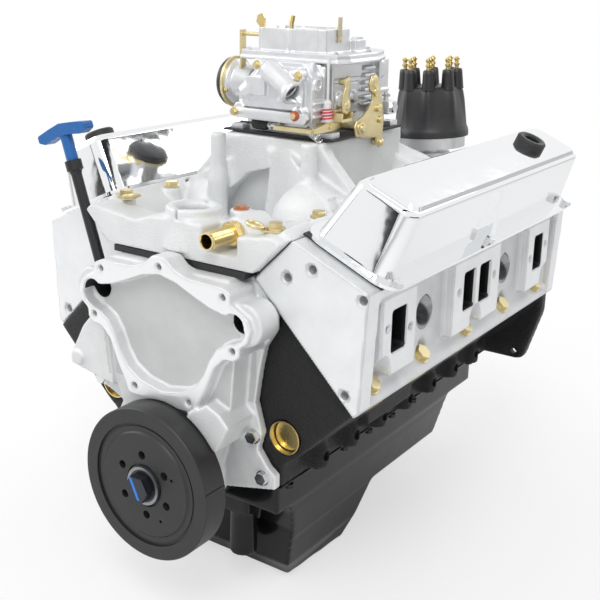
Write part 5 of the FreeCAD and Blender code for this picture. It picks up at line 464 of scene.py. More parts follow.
intake_alloy = Finish("intake_alloy")
skin = intake_alloy.grain(520, 5, 0.62)
stains = intake_alloy.grain(18, 4, 0.55)
level = intake_alloy.split(intake_alloy.facing)[2].above(0.985, 0.01)
height = intake_alloy.split(intake_alloy.place)[2]
machined = level * (height.near(0.366, 0.0008).most(height.near(0.309, 0.0008))).most(
    height.near(0.298, 0.0006))
intake_alloy.set(
    Base_Color=intake_alloy.blend(stains, (0.66, 0.67, 0.675), (0.86, 0.87, 0.875)),
    Metallic=0.45 + 0.3 * machined,
    Roughness=0.52 - 0.18 * machined + 0.16 * skin,
    Normal=intake_alloy.relief(skin * (1 - machined * 0.9), 0.0011))
RUNNERS = [
    ball((74, 124, 266), (46, 46, 56)), ball((-92, 150, 262), (38, 42, 44)),
    lathe([(20, 250), (17, 300), (15, 352)], (0, 160, 0), steps=28, squeeze=(0.55, 1)),
    webs(1), webs(-1),
    ball((84, 366, 268), (40, 46, 54)), ball((-84, 388, 268), (40, 46, 54)),
    lathe([(11, 0), (10.5, 70), (9.6, 111)], (68, 132, 257), steps=24),
    lathe([(13, 0), (13, 50), (10, 70), (9.6, 111)], (-68, 132, 257), steps=24),
]
cave = ([(-80, 246), (-78, 268), (-58, 298), (-34, 318), (2, 330), (0, 300), (-5, 268), (-6, 246)],
        136, 165)
finished("intake_casting", cast_mesh("intake_manifold", 0.0025, 4, 0.8, add=RUNNERS,
                                     cut=[prism(*cave, "y")]),
         intake_alloy.material, replaced=["intake_manifold"])
dress("intake_bolts", gold_zinc)
dress("lifting_rings", gold_zinc)
dress("hose_nipple", metal("nipple_brass", (0.88, 0.7, 0.33), 0.22))
dress("pipe_plug", metal("plug_copper", (0.72, 0.34, 0.2), 0.3))


# The timing cover is one aluminium casting. Its pump face is milled. The pocket floor behind it is
# painted darker as shade, and its deep ports are painted near-black as shade.

PUMP_FACE = (-58 - FLANGE_END) / 1000
cover_alloy = Finish("timing_alloy")
across, along, up = cover_alloy.split(cover_alloy.place)
front = cover_alloy.split(cover_alloy.facing)[1].below(-0.93, 0.03)
face = front * along.near(PUMP_FACE, 0.0012)
# Painted shade: the recessed pocket floor behind the pump face is painted darker.
floor = along.above(PUMP_FACE + 0.012) * up.above(0.1) * front * across.size().below(0.1)
skin = cover_alloy.grain(650, 4, 0.6)
stains = cover_alloy.grain(24, 4, 0.6)
# Painted shadow: the deep port holes are painted near-black and made non-metallic.
deep_port_shade = along.near(PUMP_FACE + 0.024, 0.022) * (
    ((across.size() - 0.103) * (across.size() - 0.103) + (up - 0.204) * (up - 0.204)).below(0.0132 ** 2))
cast = cover_alloy.blend(stains, (0.62, 0.63, 0.635), (0.84, 0.85, 0.855))
cast = cover_alloy.blend(floor, cast, cover_alloy.blend(stains, (0.52, 0.53, 0.53), (0.66, 0.67, 0.67)))
cast = cover_alloy.blend(face, cast, (0.86, 0.87, 0.88))
cover_alloy.set(
    Base_Color=cover_alloy.blend(deep_port_shade, cast, (0.02, 0.02, 0.022)),
    Metallic=(0.45 + 0.3 * face) * (1 - deep_port_shade),
    Roughness=0.5 - 0.17 * face + 0.14 * skin,
    Normal=cover_alloy.relief(skin * (1 - 0.95 * face), 0.0007))
finished("timing_casting", cast_mesh("timing_cover", 0.0017, 2, 0.8), cover_alloy.material,
         replaced=["timing_cover"])
dress("gasket_set", rubber)


# The vibration damper is a turned iron ring on rubber, painted dark, with a plain mark for the
# timing. A washer and a bolt with a dark oxide finish hold it.

damper_paint = metal("damper_paint", (0.03, 0.03, 0.031), 0.42, 700, 0.00015, metallic=0.25)
for name in ("damper_hub", "damper_ring"):
    dress(name, damper_paint)
dress("damper_rubber", rubber)
bolt_finish = Finish("dark_oxide", Metallic=1.0)
across, along, up = bolt_finish.split(bolt_finish.place)
rim = (across * across + up * up).above(0.0195 ** 2, 0.000004)
streak = (across * 0.9 + up * 0.43 + 0.002).near(0.0, 0.0018, 0.0004)
streak = streak * up.above(-0.012) * up.below(0.013)
streak = streak * bolt_finish.split(bolt_finish.facing)[1].below(-0.9)
oxide = bolt_finish.blend(rim, (0.06, 0.065, 0.075), (0.3, 0.31, 0.31))
bolt_finish.set(Base_Color=bolt_finish.blend(streak * (1 - rim), oxide, (0.06, 0.25, 0.75)),
                Roughness=0.36 + 0.1 * bolt_finish.grain(500))
dress("damper_bolt", bolt_finish.material)


# The sump is a pressed steel pan, painted gloss black, with a deep front well and rounded bends.
# A row of small dark bolts holds its rail under the block.

def loft(*levels):
    """A closed shape through outlines of as many points each, at their heights."""
    points = [(across, station, height) for height, outline in levels for across, station in outline]
    count = len(levels[0][1])
    faces = [tuple(range(count)), tuple(range(len(points) - count, len(points)))]
    for level in range(len(levels) - 1):
        for index in range(count):
            after = (index + 1) % count
            faces.append((level * count + index, level * count + after,
                          (level + 1) * count + after, (level + 1) * count + index))
    return points, faces


def box_outline(half, start, end):
    return [(-half, start), (half, start), (half, end), (-half, end)]


def pan_shapes(wall):
    """The parts of the pan's press shape, or of its inside by a wall's thickness."""
    return [
        loft((wall - 44, box_outline(116 - wall, 8.5 + wall, 524 - wall)),
             (6 if wall else -2, box_outline(116 - wall, 8.5 + wall, 524 - wall))),
        loft((wall - 106, box_outline(102 - wall, 64 + wall, 438 - wall)),
             (wall - 60, box_outline(112 - wall, 46 + wall, 449 - wall)),
             (wall - 42, box_outline(115 - wall, 34 + wall, 457 - wall))),
        loft((wall - 178, [(wall - 78, 90 + wall), (78 - wall, 90 + wall), (84 - wall, 208 - wall),
                           (42 - wall, 284 - wall), (wall - 42, 284 - wall), (wall - 84, 208 - wall)]),
             (wall - 150, [(wall - 92, 68 + wall), (92 - wall, 68 + wall), (93 - wall, 228 - wall),
                           (56 - wall, 306 - wall), (wall - 56, 306 - wall), (wall - 93, 228 - wall)]),
             (wall - 94, [(wall - 104, 58 + wall), (104 - wall, 58 + wall), (104 - wall, 262 - wall),
                          (72 - wall, 330 - wall), (wall - 72, 330 - wall), (wall - 104, 262 - wall)])),
        loft((wall - 68, box_outline(66 - wall, 18 + wall, 90)),
             (-38, box_outline(66 - wall, 18 + wall, 90))),
        loft((wall - 68, box_outline(66 - wall, 400, 516 - wall)),
             (-38, box_outline(66 - wall, 400, 516 - wall))),
        loft((wall - 94, box_outline(80 - wall, 400, 496 - wall)),
             (-38, box_outline(80 - wall, 400, 500 - wall))),
    ]


pan_paint = Finish("pan_paint", Metallic=0.0, Specular_IOR_Level=0.25, Coat_Weight=0.15,
                   Coat_Roughness=0.05)
ripple = pan_paint.grain(30, 2, 0.5)
pan_paint.set(Base_Color=pan_paint.blend(ripple, (0.003, 0.003, 0.0035), (0.006, 0.006, 0.0065)),
              Roughness=0.16 + 0.08 * pan_paint.grain(200),
              Normal=pan_paint.relief(ripple, 0.0012, 0.4))
press = pan_shapes(0) + [
    loft((-5, box_outline(127, 0.5, 557)), (-1, box_outline(127, 0.5, 557))),
    lathe([(17, -128), (17, -20)], (46, 38, 0), steps=28),
    lathe([(13, 0), (13, 6)], (0, 287, -156), (0, 1, 0), 28),
]
PAN_WALL = 3.5
inside = pan_shapes(PAN_WALL) + [
    lathe([(39, -2), (39, 12)], (0, 0, 0), (0, 1, 0), 40),
    lathe([(38.6, 10), (38.6, 38)], (0, 0, 0), (0, 1, 0), 40),
    lathe([(68.6, 523), (68.6, 560)], (0, 0, 0), (0, 1, 0), 40),
]
finished("sump_pressing", cast_mesh(None, 0.0024, 6, 0.4, add=press, cut=inside), pan_paint.material,
         replaced=["oil_pan"])
dress("oil_pan_bolts", metal("dark_screw", (0.05, 0.05, 0.055), 0.4))


# The dipstick has a moulded blue handle on a flat steel blade, and stands in a black tube that
# is pressed into the block's side.

dress("dipstick", metal("blue_plastic", (0.012, 0.13, 0.42), 0.34, 500, 0.0001, metallic=0.0))
dress("dipstick_tube", metal("tube_black", (0.02, 0.02, 0.022), 0.35, 500, 0.0001, metallic=0.2))


# The distributor is an aluminium body with a black moulded cap. Eight towers and one in the middle
# hold brass terminals.

cap_plastic = metal("cap_plastic", (0.022, 0.022, 0.024), 0.36, 500, 0.0001, metallic=0.0)
SPARK_LEAN = math.radians(3.27)
SPARK_AXIS = Vector((-math.sin(SPARK_LEAN), 0, math.cos(SPARK_LEAN)))
SPARK_FOOT = Vector((51, 513, 0))
TOWER_CIRCLE = 37.5
RIB_HEIGHTS = ((330, 0), (339, 0), (344, 0.6), (362, 2.5), (385, 4.5), (397, 5.5), (401, 5), (403, 0))


def tower_swell(angle, height):
    """How far the cap's wall swells towards the nearest tower."""
    nearest = (angle - math.radians(22)) % (math.pi / 4)
    nearest = min(nearest, math.pi / 4 - nearest)
    amount = np.interp(height, *zip(*RIB_HEIGHTS))
    return amount * math.exp(-(nearest / 0.17) ** 2)


def on_spark(across, along, height):
    turn = SPARK_AXIS.to_track_quat("Z", "Y")
    return SPARK_FOOT + turn @ Vector((across, along, height))


towers = [(TOWER_CIRCLE * math.cos(math.radians(22 + 45 * index)),
           TOWER_CIRCLE * math.sin(math.radians(22 + 45 * index))) for index in range(8)] + [(0, 0)]
cap_shapes = [lathe([(50, 330.2), (55, 330.2), (55.2, 337), (54, 341), (51.5, 346), (48.5, 362),
                     (45, 382), (42, 394), (40, 400), (37, 402.6), (30, 403.5), (0.01, 403.5)],
                    SPARK_FOOT, SPARK_AXIS, 192, tower_swell)]
for across, along in towers:
    cap_shapes.append(lathe([(10, 398), (9.4, 404), (8.2, 421), (7.6, 425.5), (6.4, 427), (3, 427)],
                            on_spark(across, along, 0), SPARK_AXIS, 24))
    cap_shapes.append(lathe([(3.4, 405), (3.4, 426)], on_spark(across, along, 0), SPARK_AXIS, 12))
finished("spark_cap", made("spark_cap", *cap_shapes), cap_plastic,
         replaced=["distributor_cap"])
terminals = [lathe([(3, 426), (3, 431), (4.3, 432), (4.3, 434.5), (3, 436), (3, 438), (4.2, 439.5),
                    (4.2, 441.5), (2.6, 443.5), (0.01, 444)], on_spark(across, along, 0), SPARK_AXIS, 16)
             for across, along in towers]
finished("spark_terminals", made("spark_terminals", *terminals), plug_brass)
dress("distributor_housing", metal("distributor_alloy", (0.7, 0.71, 0.72), 0.36))


# The carburettor is die-cast zinc, dichromated bright, with yellow zinc levers. Its two fuel bowls
# are bolted on in front and behind, and the choke's cap is held by a ring on the right.

def brick(low, high):
    """A plain box between two corners."""
    points = [(x, y, z) for x in (low[0], high[0]) for y in (low[1], high[1])
              for z in (low[2], high[2])]
    return points, [(0, 1, 3, 2), (4, 6, 7, 5), (0, 4, 5, 1), (2, 3, 7, 6), (0, 2, 6, 4), (1, 5, 7, 3)]


def pipe(route, radius, steps=10):
    """A round rod that follows points."""
    route = [Vector(point) for point in route]
    points, faces = [], []
    side = Vector((0, 0, 1))
    for index, here in enumerate(route):
        ahead = (route[min(index + 1, len(route) - 1)] - route[max(index - 1, 0)]).normalized()
        side = (side - ahead * side.dot(ahead)).normalized() if abs(side.dot(ahead)) < 0.99 else (
            ahead.orthogonal().normalized())
        over = ahead.cross(side)
        for step in range(steps):
            angle = 2 * math.pi * step / steps
            points.append(here + radius * (math.cos(angle) * side + math.sin(angle) * over))
    for index in range(len(route) - 1):
        for step in range(steps):
            after = (step + 1) % steps
            faces.append((index * steps + step, index * steps + after,
                          (index + 1) * steps + after, (index + 1) * steps + step))
    faces += [tuple(range(steps)), tuple(range(len(points) - steps, len(points)))]
    return points, faces


def coil(low, high, radius, turns, wire):
    """A spring between two points."""
    low, high = Vector(low), Vector(high)
    turn = (high - low).to_track_quat("Z", "Y")
    count = int(turns * 14)
    route = []
    for index in range(count + 1):
        angle = 2 * math.pi * turns * index / count
        route.append(low + (high - low) * (index / count)
                     + turn @ Vector((radius * math.cos(angle), radius * math.sin(angle), 0)))
    return pipe(route, wire, 7)


def ringed(mesh, width, steps=2):
    """Soften the sharp edges of a mesh."""
    work = bmesh.new()
    work.from_mesh(mesh)
    sharp = [edge for edge in work.edges if not edge.smooth and len(edge.link_faces) == 2]
    bmesh.ops.bevel(work, geom=sharp, offset=width / 1000, segments=steps, profile=0.5,
                    affect="EDGES", clamp_overlap=True)
    for face in work.faces:
        face.smooth = True
    for edge in work.edges:
        edge.smooth = len(edge.link_faces) == 2 and edge.calc_face_angle(3.2) < math.radians(35)
    work.to_mesh(mesh)
    work.free()
    return mesh


carb_alloy = Finish("carb_alloy", Metallic=0.75)
skin = carb_alloy.grain(900, 3, 0.5)
stains = carb_alloy.grain(50, 4, 0.6)
carb_alloy.set(Base_Color=carb_alloy.blend(stains, (0.62, 0.63, 0.65), (0.86, 0.87, 0.88)),
               Roughness=0.26 + 0.14 * skin,
               Normal=carb_alloy.relief(skin, 0.0003, 0.7))
BARRELS = [(across, station) for across in (-24, 24) for station in (221, 275)]
body_shapes = [
    brick((-54, 190, 387), (54, 306, 459)),
    prism([(-70, 182), (70, 182), (80, 196), (80, 262), (64, 306), (40, 314), (-40, 314), (-64, 306),
           (-80, 262), (-80, 196)], 458, 466, "z"),
    prism([(-50, 191), (-42, 186), (42, 186), (50, 191), (50, 243), (45, 248), (-45, 248),
           (-50, 243)], 460, 494, "z"),
    prism([(30, 246), (58, 246), (54, 276), (20, 282), (-20, 282), (-30, 246)], 462, 480, "z"),
    lathe([(5, 460), (5, 494)], (2, 187.5, 0)), lathe([(8, 460), (8, 474)], (-6, 290, 0)),
    brick((-100, 206, 404), (-48, 226, 428)), brick((48, 284, 387.4), (86, 304, 404)),
    brick((52, 198, 436), (58.5, 262, 455)), brick((52, 200, 392), (57, 258, 430)),
    brick((52, 298, 392), (63, 303, 460)), brick((52, 192, 392), (60, 196, 458)),
    lathe([(9, 0), (9, 4)], (56, 212, 410), (1, 0, 0)),
    lathe([(7, 0), (7, 5)], (56, 244, 412), (1, 0, 0)),
    lathe([(13, 0), (11, 7)], (-54, 250, 420), (-1, 0, 0)), brick((-60, 196, 436), (-52, 262, 455)),
]
body_shapes += [brick((52, 266, 398 + 9 * step), (61, 292, 402 + 9 * step)) for step in range(6)]
body_shapes += [brick((-61, 266, 398 + 9 * step), (-52, 292, 402 + 9 * step)) for step in range(6)]
body_shapes += [pipe([(-71, 183, 457), (71, 183, 457), (80.5, 197, 457), (80.5, 262, 457),
                      (64, 307, 457)], 2.4, 10),
                pipe([(-71, 183, 457), (-80.5, 197, 457), (-80.5, 262, 457), (-64, 307, 457)], 2.4, 10)]
body_cuts = [prism([(-46, 190), (46, 190), (46, 244), (-46, 244)], 459, 500, "z"),
             lathe([(2.8, -75), (2.8, 75)], (0, 217, 483), (1, 0, 0))]
body_cuts += [lathe([(21.6, 386), (21.6, 400), (19, 401), (19, 420), (24, 500)], (*barrel, 0))
              for barrel in BARRELS]
carb_body = cast_mesh(None, 0.0011, 1, 0.6, add=body_shapes, cut=body_cuts)
finished("carb_main_body", carb_body, carb_alloy.material, replaced=["carburettor_body"])
boosters = [lathe([(5.5, 424), (8, 424), (8, 440), (5.5, 440)], (*barrel, 0), steps=24)
            for barrel in BARRELS]
boosters += [brick((min(across, across * 1.9), station - 2.5, 428),
                   (max(across, across * 1.9), station + 2.5, 436)) for across, station in BARRELS]
finished("carb_boosters", made("carb_boosters", *boosters), carb_alloy.material)

INLET_LINE = Vector((0.84, -0.16, -0.51))
INLET_MOUTH = Vector((38, 141, 422))
INLET_FOOT = INLET_MOUTH - INLET_LINE * 44
bowl_shapes = [
    prism([(-54, 404), (-54, 387), (54, 387), (54, 440), (40, 457), (-16, 457), (-54, 424)],
          156, 182, "y"),
    prism([(-46, 404), (-46, 401), (44, 401), (44, 436), (34, 450), (-10, 450), (-40, 424)],
          149, 158, "y"),
    brick((-48, 181, 388), (48, 189.9, 454)), brick((-34, 143.5, 416), (-6, 152, 438)),
    prism([(-42, 414), (-14, 452), (-8, 452), (-36, 410)], 145, 152, "y"),
    prism([(10, 410), (36, 410), (40, 446), (28, 446)], 147, 152, "y"),
    lathe([(12, 0), (12, 46), (10, 47)], (-6, 158, 446), (-0.76, -0.1, -0.64)),
    lathe([(9, 0), (9, 4), (6, 4.5)], (53, 166, 432), (1, 0, 0)),
    brick((52, 158, 392), (57, 188, 396)), brick((52, 158, 400), (57, 188, 404)),
    brick((52, 158, 408), (57, 188, 412)), brick((50, 180, 388), (56, 184, 452)),
    lathe([(12.5, -8), (12.5, 36), (15, 37.5), (15.5, 42), (14.5, 44)], INLET_FOOT, INLET_LINE, 36),
]
for across, height in ((40, 442.6), (40, 398.3), (-48, 398), (-20, 452)):
    bowl_shapes.append(lathe([(8.5, 0), (7.5, 10)], (across, 157, height), (0, -1, 0), 24))
bowl_cuts = [lathe([(10.4, 30), (10.4, 34), (11.8, 34.5), (11.8, 60)], INLET_FOOT, INLET_LINE, 30),
             lathe([(5, 2), (5, 12)], (53, 166, 432), (1, 0, 0))]
rear_shapes = [
    prism([(-50, 393), (50, 393), (50, 452), (36, 464), (-36, 464), (-50, 452)], 314, 345, "y"),
    brick((-46, 306.1, 395), (46, 315, 453)), lathe([(10, 0), (10, 3.5)], (49, 325, 440), (1, 0, 0)),
    brick((48, 318, 400), (53, 342, 404)), brick((48, 318, 410), (53, 342, 414)),
    lathe([(12, 0), (11, 4)], (0, 344, 425), (0, 1, 0)),
]
bowls = cast_mesh(None, 0.0011, 1, 0.6, add=bowl_shapes, cut=bowl_cuts)
finished("carb_bowls", bowls, carb_alloy.material, replaced=["fuel_bowls"])
finished("carb_rear_bowl", cast_mesh(None, 0.0012, 1, 0.6, add=rear_shapes), carb_alloy.material)
polished = metal("carb_polish", (0.88, 0.89, 0.9), 0.16, 200, 0.00005)
bar = prism([(-54, 390), (-50, 400), (54, 399), (57, 393), (52, 386), (-50, 387)], 142, 149, "y")
finished("bowl_bar", ringed(made("bowl_bar", bar), 1.2), carb_alloy.material)
# Painted shadow: a thin near-black disc set inside the fuel inlet's bore, where shade falls.
finished("inlet_bore", made("inlet_bore", lathe([(11.6, 30.5), (11.6, 31.5)], INLET_FOOT, INLET_LINE)),
         cap_plastic)

dress("throttle_body", carb_alloy.material)
choke_at = (-112, 227, 420)
finished("choke_cap", ringed(made("choke_cap", lathe([(32, 0), (32, 8), (29, 9), (29, 12), (12, 14)],
                                                     choke_at, (-1, 0, 0), 40)), 1.0),
         cap_plastic, replaced=["choke_housing"])
finished("choke_case", ringed(made("choke_case", lathe([(30, 0), (30, 5), (24, 9), (22, 34)],
                                                       choke_at, (1, 0, 0), 40)), 1.0),
         carb_alloy.material)
finished("choke_ring", made("choke_ring", lathe([(28, -2.4), (33.4, -2.4), (33.4, 1.2), (28, 1.2)],
                                                choke_at, (1, 0, 0), 40)), gold_zinc)
for name in ("secondary_throttle", "choke_plate", "pump_lever"):
    dress(name, gold_zinc)


# The carburettor's bowl screws are yellow zinc with red fibre washers. Its choke cap is held by a
# ring of three small screws, and the float bowls vent through brass tubes beside the air horn.

def screw_tree():
    """Geometry nodes that set a washer, a hexagon head and a boss on each point."""
    tree = bpy.data.node_groups.new("hexagon_screws", "GeometryNodeTree")
    sockets = (("Geometry", "NodeSocketGeometry", "INPUT"), ("Head radius", "NodeSocketFloat", "INPUT"),
               ("Head height", "NodeSocketFloat", "INPUT"), ("Turn", "NodeSocketRotation", "INPUT"),
               ("Finish", "NodeSocketMaterial", "INPUT"), ("Geometry", "NodeSocketGeometry", "OUTPUT"))
    for name, kind, way in sockets:
        tree.interface.new_socket(name=name, socket_type=kind, in_out=way)
    inlet = tree.nodes.new("NodeGroupInput")
    outlet = tree.nodes.new("NodeGroupOutput")

    def add(kind, **values):
        made_node = tree.nodes.new(kind)
        for key, value in values.items():
            socket = made_node.inputs[key.replace("_", " ")]
            if isinstance(value, bpy.types.NodeSocket):
                tree.links.new(value, socket)
            else:
                socket.default_value = value
        return made_node

    def scaled(socket, factor):
        times = tree.nodes.new("ShaderNodeMath")
        times.operation = "MULTIPLY"
        tree.links.new(socket, times.inputs[0])
        times.inputs[1].default_value = factor
        return times.outputs[0]

    radius, height = inlet.outputs[1], inlet.outputs[2]
    head = add("GeometryNodeMeshCylinder", Vertices=6, Radius=radius, Depth=height)
    crown = add("GeometryNodeMeshCylinder", Vertices=24, Radius=scaled(radius, 0.62),
                Depth=scaled(height, 1.25))
    washer = add("GeometryNodeMeshCylinder", Vertices=24, Radius=scaled(radius, 1.3),
                 Depth=scaled(height, 0.3))
    lift = add("ShaderNodeCombineXYZ", Z=scaled(height, 0.5))
    shift = add("GeometryNodeTransform", Geometry=head.outputs[0], Translation=lift.outputs[0])
    shift_crown = add("GeometryNodeTransform", Geometry=crown.outputs[0], Translation=lift.outputs[0])
    joined = tree.nodes.new("GeometryNodeJoinGeometry")
    for piece in (washer, shift_crown, shift):
        tree.links.new(piece.outputs[0], joined.inputs[0])
    place = add("GeometryNodeInstanceOnPoints", Points=inlet.outputs[0], Instance=joined.outputs[0],
                Rotation=inlet.outputs[3])
    real = add("GeometryNodeRealizeInstances", Geometry=place.outputs[0])
    coat = add("GeometryNodeSetMaterial", Geometry=real.outputs[0], Material=inlet.outputs[4])
    tree.links.new(coat.outputs[0], outlet.inputs[0])
    return tree


screws = screw_tree()


def screwed(name, places, along, radius, height, material, body=ENGINE):
    """A row of hexagon screws, all facing the same way."""
    mesh = bpy.data.meshes.new(name)
    mesh.from_pydata([spot(*place) for place in places], [], [])
    piece = bpy.data.objects.new(name + "_points", mesh)
    bpy.context.scene.collection.objects.link(piece)
    modifier = piece.modifiers.new("screws", "NODES")
    modifier.node_group = screws
    names = {item.name: item.identifier for item in screws.interface.items_tree
             if item.in_out == "INPUT"}
    turn = Vector(along).to_track_quat("Z", "Y").to_euler()
    modifier[names["Head radius"]] = radius / 1000
    modifier[names["Head height"]] = height / 1000
    modifier[names["Turn"]] = tuple(turn)
    modifier[names["Finish"]] = material
    result = evaluated(piece)
    return finished(name, result, material, body)


screwed("bowl_screws", [(40, 146.4, 442.6), (40, 141, 396.5), (-50, 141, 394.5), (-20, 146.4, 452)],
        (0, -1, 0), 4, 4, gold_zinc)
red_fibre = metal("red_fibre", (0.5, 0.1, 0.05), 0.6, 500, 0.0001, metallic=0.0)
finished("bowl_washers", made("bowl_washers", lathe([(6, 0), (6.2, 1.4), (5.6, 1.6)], (40, 141.8, 396.5),
                                                    (0, -1, 0))), red_fibre)
screwed("choke_screws", [(-109, 227 + 28 * math.sin(turn), 420 + 28 * math.cos(turn))
                         for turn in (0.2, 2.3, 4.4)], (1, 0, 0), 3.4, 3, gold_zinc)
screwed("deck_screws", [(-66, 192, 466), (64, 190, 466), (70, 256, 466), (-70, 256, 466),
                        (-40, 300, 466), (44, 298, 466)], (0, 0, 1), 3.4, 2.6, carb_alloy.material)
vents = [prism([(-46, 494), (-52, 500), (-50, 508), (-43, 511), (-39, 505), (-40, 494)], 188, 191, "y"),
         pipe([(2, 186.6, 462), (2, 186.6, 500), (3, 188, 509)], 3.2, 12)]
finished("vent_tubes", made("vent_tubes", *vents), plug_brass)
tan = metal("tan_plate", (0.62, 0.55, 0.4), 0.4, 300, metallic=0.5)
finished("vent_plate", ringed(made("vent_plate", brick((50.4, 214, 478), (53, 221, 508))), 0.6), tan)
finished("fuel_fitting", made("fuel_fitting", lathe([(9, 466), (9, 470)], (40, 278, 0), steps=6),
                              lathe([(6.5, 470), (6.5, 474)], (40, 278, 0)),
                              lathe([(9.5, 474), (9.5, 480), (7, 482)], (40, 278, 0), steps=6)),
         polished)


# The throttle linkage is stamped and plated levers on the left side. A white rod from the horn
# ends in a cap and a small spring over the pump arm.

lever_outline = [(-10, -9), (4, -12), (24, -15), (40, -15), (44, -27), (50, -30), (55, -26), (56, -12),
                 (58, 8), (54, 22), (50, 34), (45, 44), (42, 56), (34, 63), (24, 62), (19, 52),
                 (21, 44), (28, 40), (27, 30), (18, 22), (6, 14), (-8, 10), (-13, 2)]
lever_shapes = [prism([(221 + ahead, 377 + up) for ahead, up in lever_outline], 80, 83, "x"),
                lathe([(8, 0), (8, 3), (5, 3.5), (5, 7)], (82.5, 221, 377), (1, 0, 0)),
                lathe([(4, 0), (4, 26)], (60, 221, 377), (1, 0, 0)),
                lathe([(5.5, 0), (5.5, 3.5), (3, 4)], (82.5, 254, 418), (1, 0, 0)),
                lathe([(4.5, 0), (4.5, 4)], (82.5, 262, 398), (1, 0, 0)),
                lathe([(4.5, 0), (4.5, 3.5)], (82.5, 268, 383), (1, 0, 0)),
                lathe([(7, -3.5), (7, 1), (5, 2)], (82.5, 252, 431), (1, 0, 0)),
                lathe([(4.8, -9), (4.8, 4), (3, 6)], (82.5, 270, 354), (1, 0, 0)),
                prism([(222, 372), (262, 386), (262, 392), (218, 384)], 76, 79.8, "x")]
finished("throttle_lever_plate", ringed(made("throttle_lever_plate", *lever_shapes), 0.7), gold_zinc,
         body="primary_throttle_body", replaced=["primary_throttle"])
plates = [lathe([(20.9, -0.8), (20.9, 0.8)], (across, 221, 377)) for across in (-24, 24)]
plates += [lathe([(4, -72), (4, 60)], (0, 221, 377), (1, 0, 0)),
           prism([(214, 370), (228, 370), (227, 397), (215, 397)], -70, -67, "x")]
finished("throttle_plates", made("throttle_plates", *plates), gold_zinc,
         body="primary_throttle_body")
bracket = [prism([(190, 398), (206, 398), (206, 412), (201, 418), (205, 430), (202, 441), (191, 438),
                  (195, 428), (190, 420)], 74, 77, "x"),
           lathe([(4.2, 0), (4.2, 11), (3, 12)], (66, 198, 434), (1, 0, 0)),
           lathe([(6, 0), (6, 8), (4, 9)], (69.5, 200, 406), (1, 0, 0)),
           brick((60, 184, 387.2), (62.5, 210, 400)), brick((60, 184, 387.2), (79, 187, 398)),
           brick((60, 207, 387.2), (79, 210, 398)), brick((76.5, 184, 387.2), (79, 210, 391)),
           brick((54, 196, 396), (76, 204, 400))]
finished("idle_bracket", ringed(made("idle_bracket", *bracket), 0.7), gold_zinc)
white_plastic = metal("white_plastic", (0.85, 0.85, 0.84), 0.4, 400, 0.0001, metallic=0.0)
finished("pump_rod", made("pump_rod", pipe([(60, 181, 462), (60, 181, 412)], 1.7),
                          lathe([(4.5, 404), (5, 410), (3, 413)], (60, 181, 0)),
                          lathe([(6.2, 389.5), (6.2, 404)], (60, 181, 0)),
                          lathe([(8, 387.2), (8, 389.5)], (60, 181, 0))), white_plastic)
red_spring = metal("red_spring", (0.7, 0.04, 0.07), 0.4, 400, 0.0001, metallic=0.0)
finished("pump_spring", made("pump_spring", coil((60, 181, 390.5), (60, 181, 403), 6.4, 3.5, 1.0)),
         red_spring)
finished("return_spring", made("return_spring", coil((44, 162, 378), (70, 150, 370.5), 4, 7, 0.9)),
         polished)
finished("link_screws", made("link_screws", lathe([(7, 0), (7, 4)], (86, 294, 396), (1, 0, 0), 6),
                             lathe([(3, 404), (3, 414)], (76, 294, 0)),
                             lathe([(6, 409), (6, 412)], (76, 294, 0), steps=6)), polished)


# At the carburettor's foot, a rubber cap closes an unused vacuum tube, and a black gasket lies
# under the throttle body.

finished("vacuum_cap", made("vacuum_cap", lathe([(3, -16), (6.4, -13), (7.2, -8), (7.2, 5), (5, 9)],
                                                (-22, 163, 379), (1, 0, 0)),
                            pipe([(-36, 163, 379), (-58, 166, 379)], 1.4)), rubber)
gasket_sides = [brick((-82, 160, 367), (82, 188, 369.4)), brick((-82, 308, 367), (82, 326, 369.4)),
                brick((-65, 188, 367), (-50, 308, 369.4)), brick((50, 188, 367), (82, 308, 369.4))]
finished("foot_gasket", made("foot_gasket", *gasket_sides), rubber)
finished("vacuum_tube", made("vacuum_tube", lathe([(4, 0), (4, 16)], (-14, 163, 379), (1, 0, 0)),
                             lathe([(6, 0), (6, 3)], (-10, 163, 379), (1, 0, 0), 6)),
         polished)


# The stage is a pale floor that fades to white, with soft panels of light over it and at its sides.

FLOOR = -0.1785


def panel(name, place, aim, size, power, colour=(1, 1, 1)):
    """A soft rectangular lamp turned towards a point."""
    lamp = bpy.data.lights.new(name, "AREA")
    lamp.shape = "RECTANGLE"
    lamp.size, lamp.size_y = size
    lamp.energy = power
    lamp.color = colour
    holder = bpy.data.objects.new(name, lamp)
    bpy.context.scene.collection.objects.link(holder)
    holder.location = place
    holder.rotation_euler = (Vector(aim) - Vector(place)).to_track_quat("-Z", "Y").to_euler()
    return holder


floor_mesh = bpy.data.meshes.new("floor")
reach = 12.0
floor_mesh.from_pydata([(-reach, -reach, FLOOR), (reach, -reach, FLOOR), (reach, reach, FLOOR),
                        (-reach, reach, FLOOR)], [], [(0, 1, 2, 3)])
floor_piece = bpy.data.objects.new("floor", floor_mesh)
bpy.context.scene.collection.objects.link(floor_piece)
floor_finish = Finish("floor_white", Roughness=0.9, Base_Color=(0.95, 0.95, 0.95, 1))
across, along, up = floor_finish.split(floor_finish.place)
away = (across * across + (along + 0.3) * (along + 0.3)).math("SQRT")
fade = 0.6 + 0.4 * away.above(0.85, 0.45)
ray = floor_finish.node("ShaderNodeLightPath", out="Is Camera Ray")
glow = floor_finish.node("ShaderNodeEmission", None, (1, 1, 1, 1), 1.0)
mix = floor_finish.tree.nodes.new("ShaderNodeMixShader")
floor_finish.tree.links.new((ray * fade).socket, mix.inputs[0])
floor_finish.tree.links.new(floor_finish.shader.outputs[0], mix.inputs[1])
floor_finish.tree.links.new(glow.socket, mix.inputs[2])
floor_finish.tree.links.new(mix.outputs[0], floor_finish.tree.nodes["Material Output"].inputs[0])
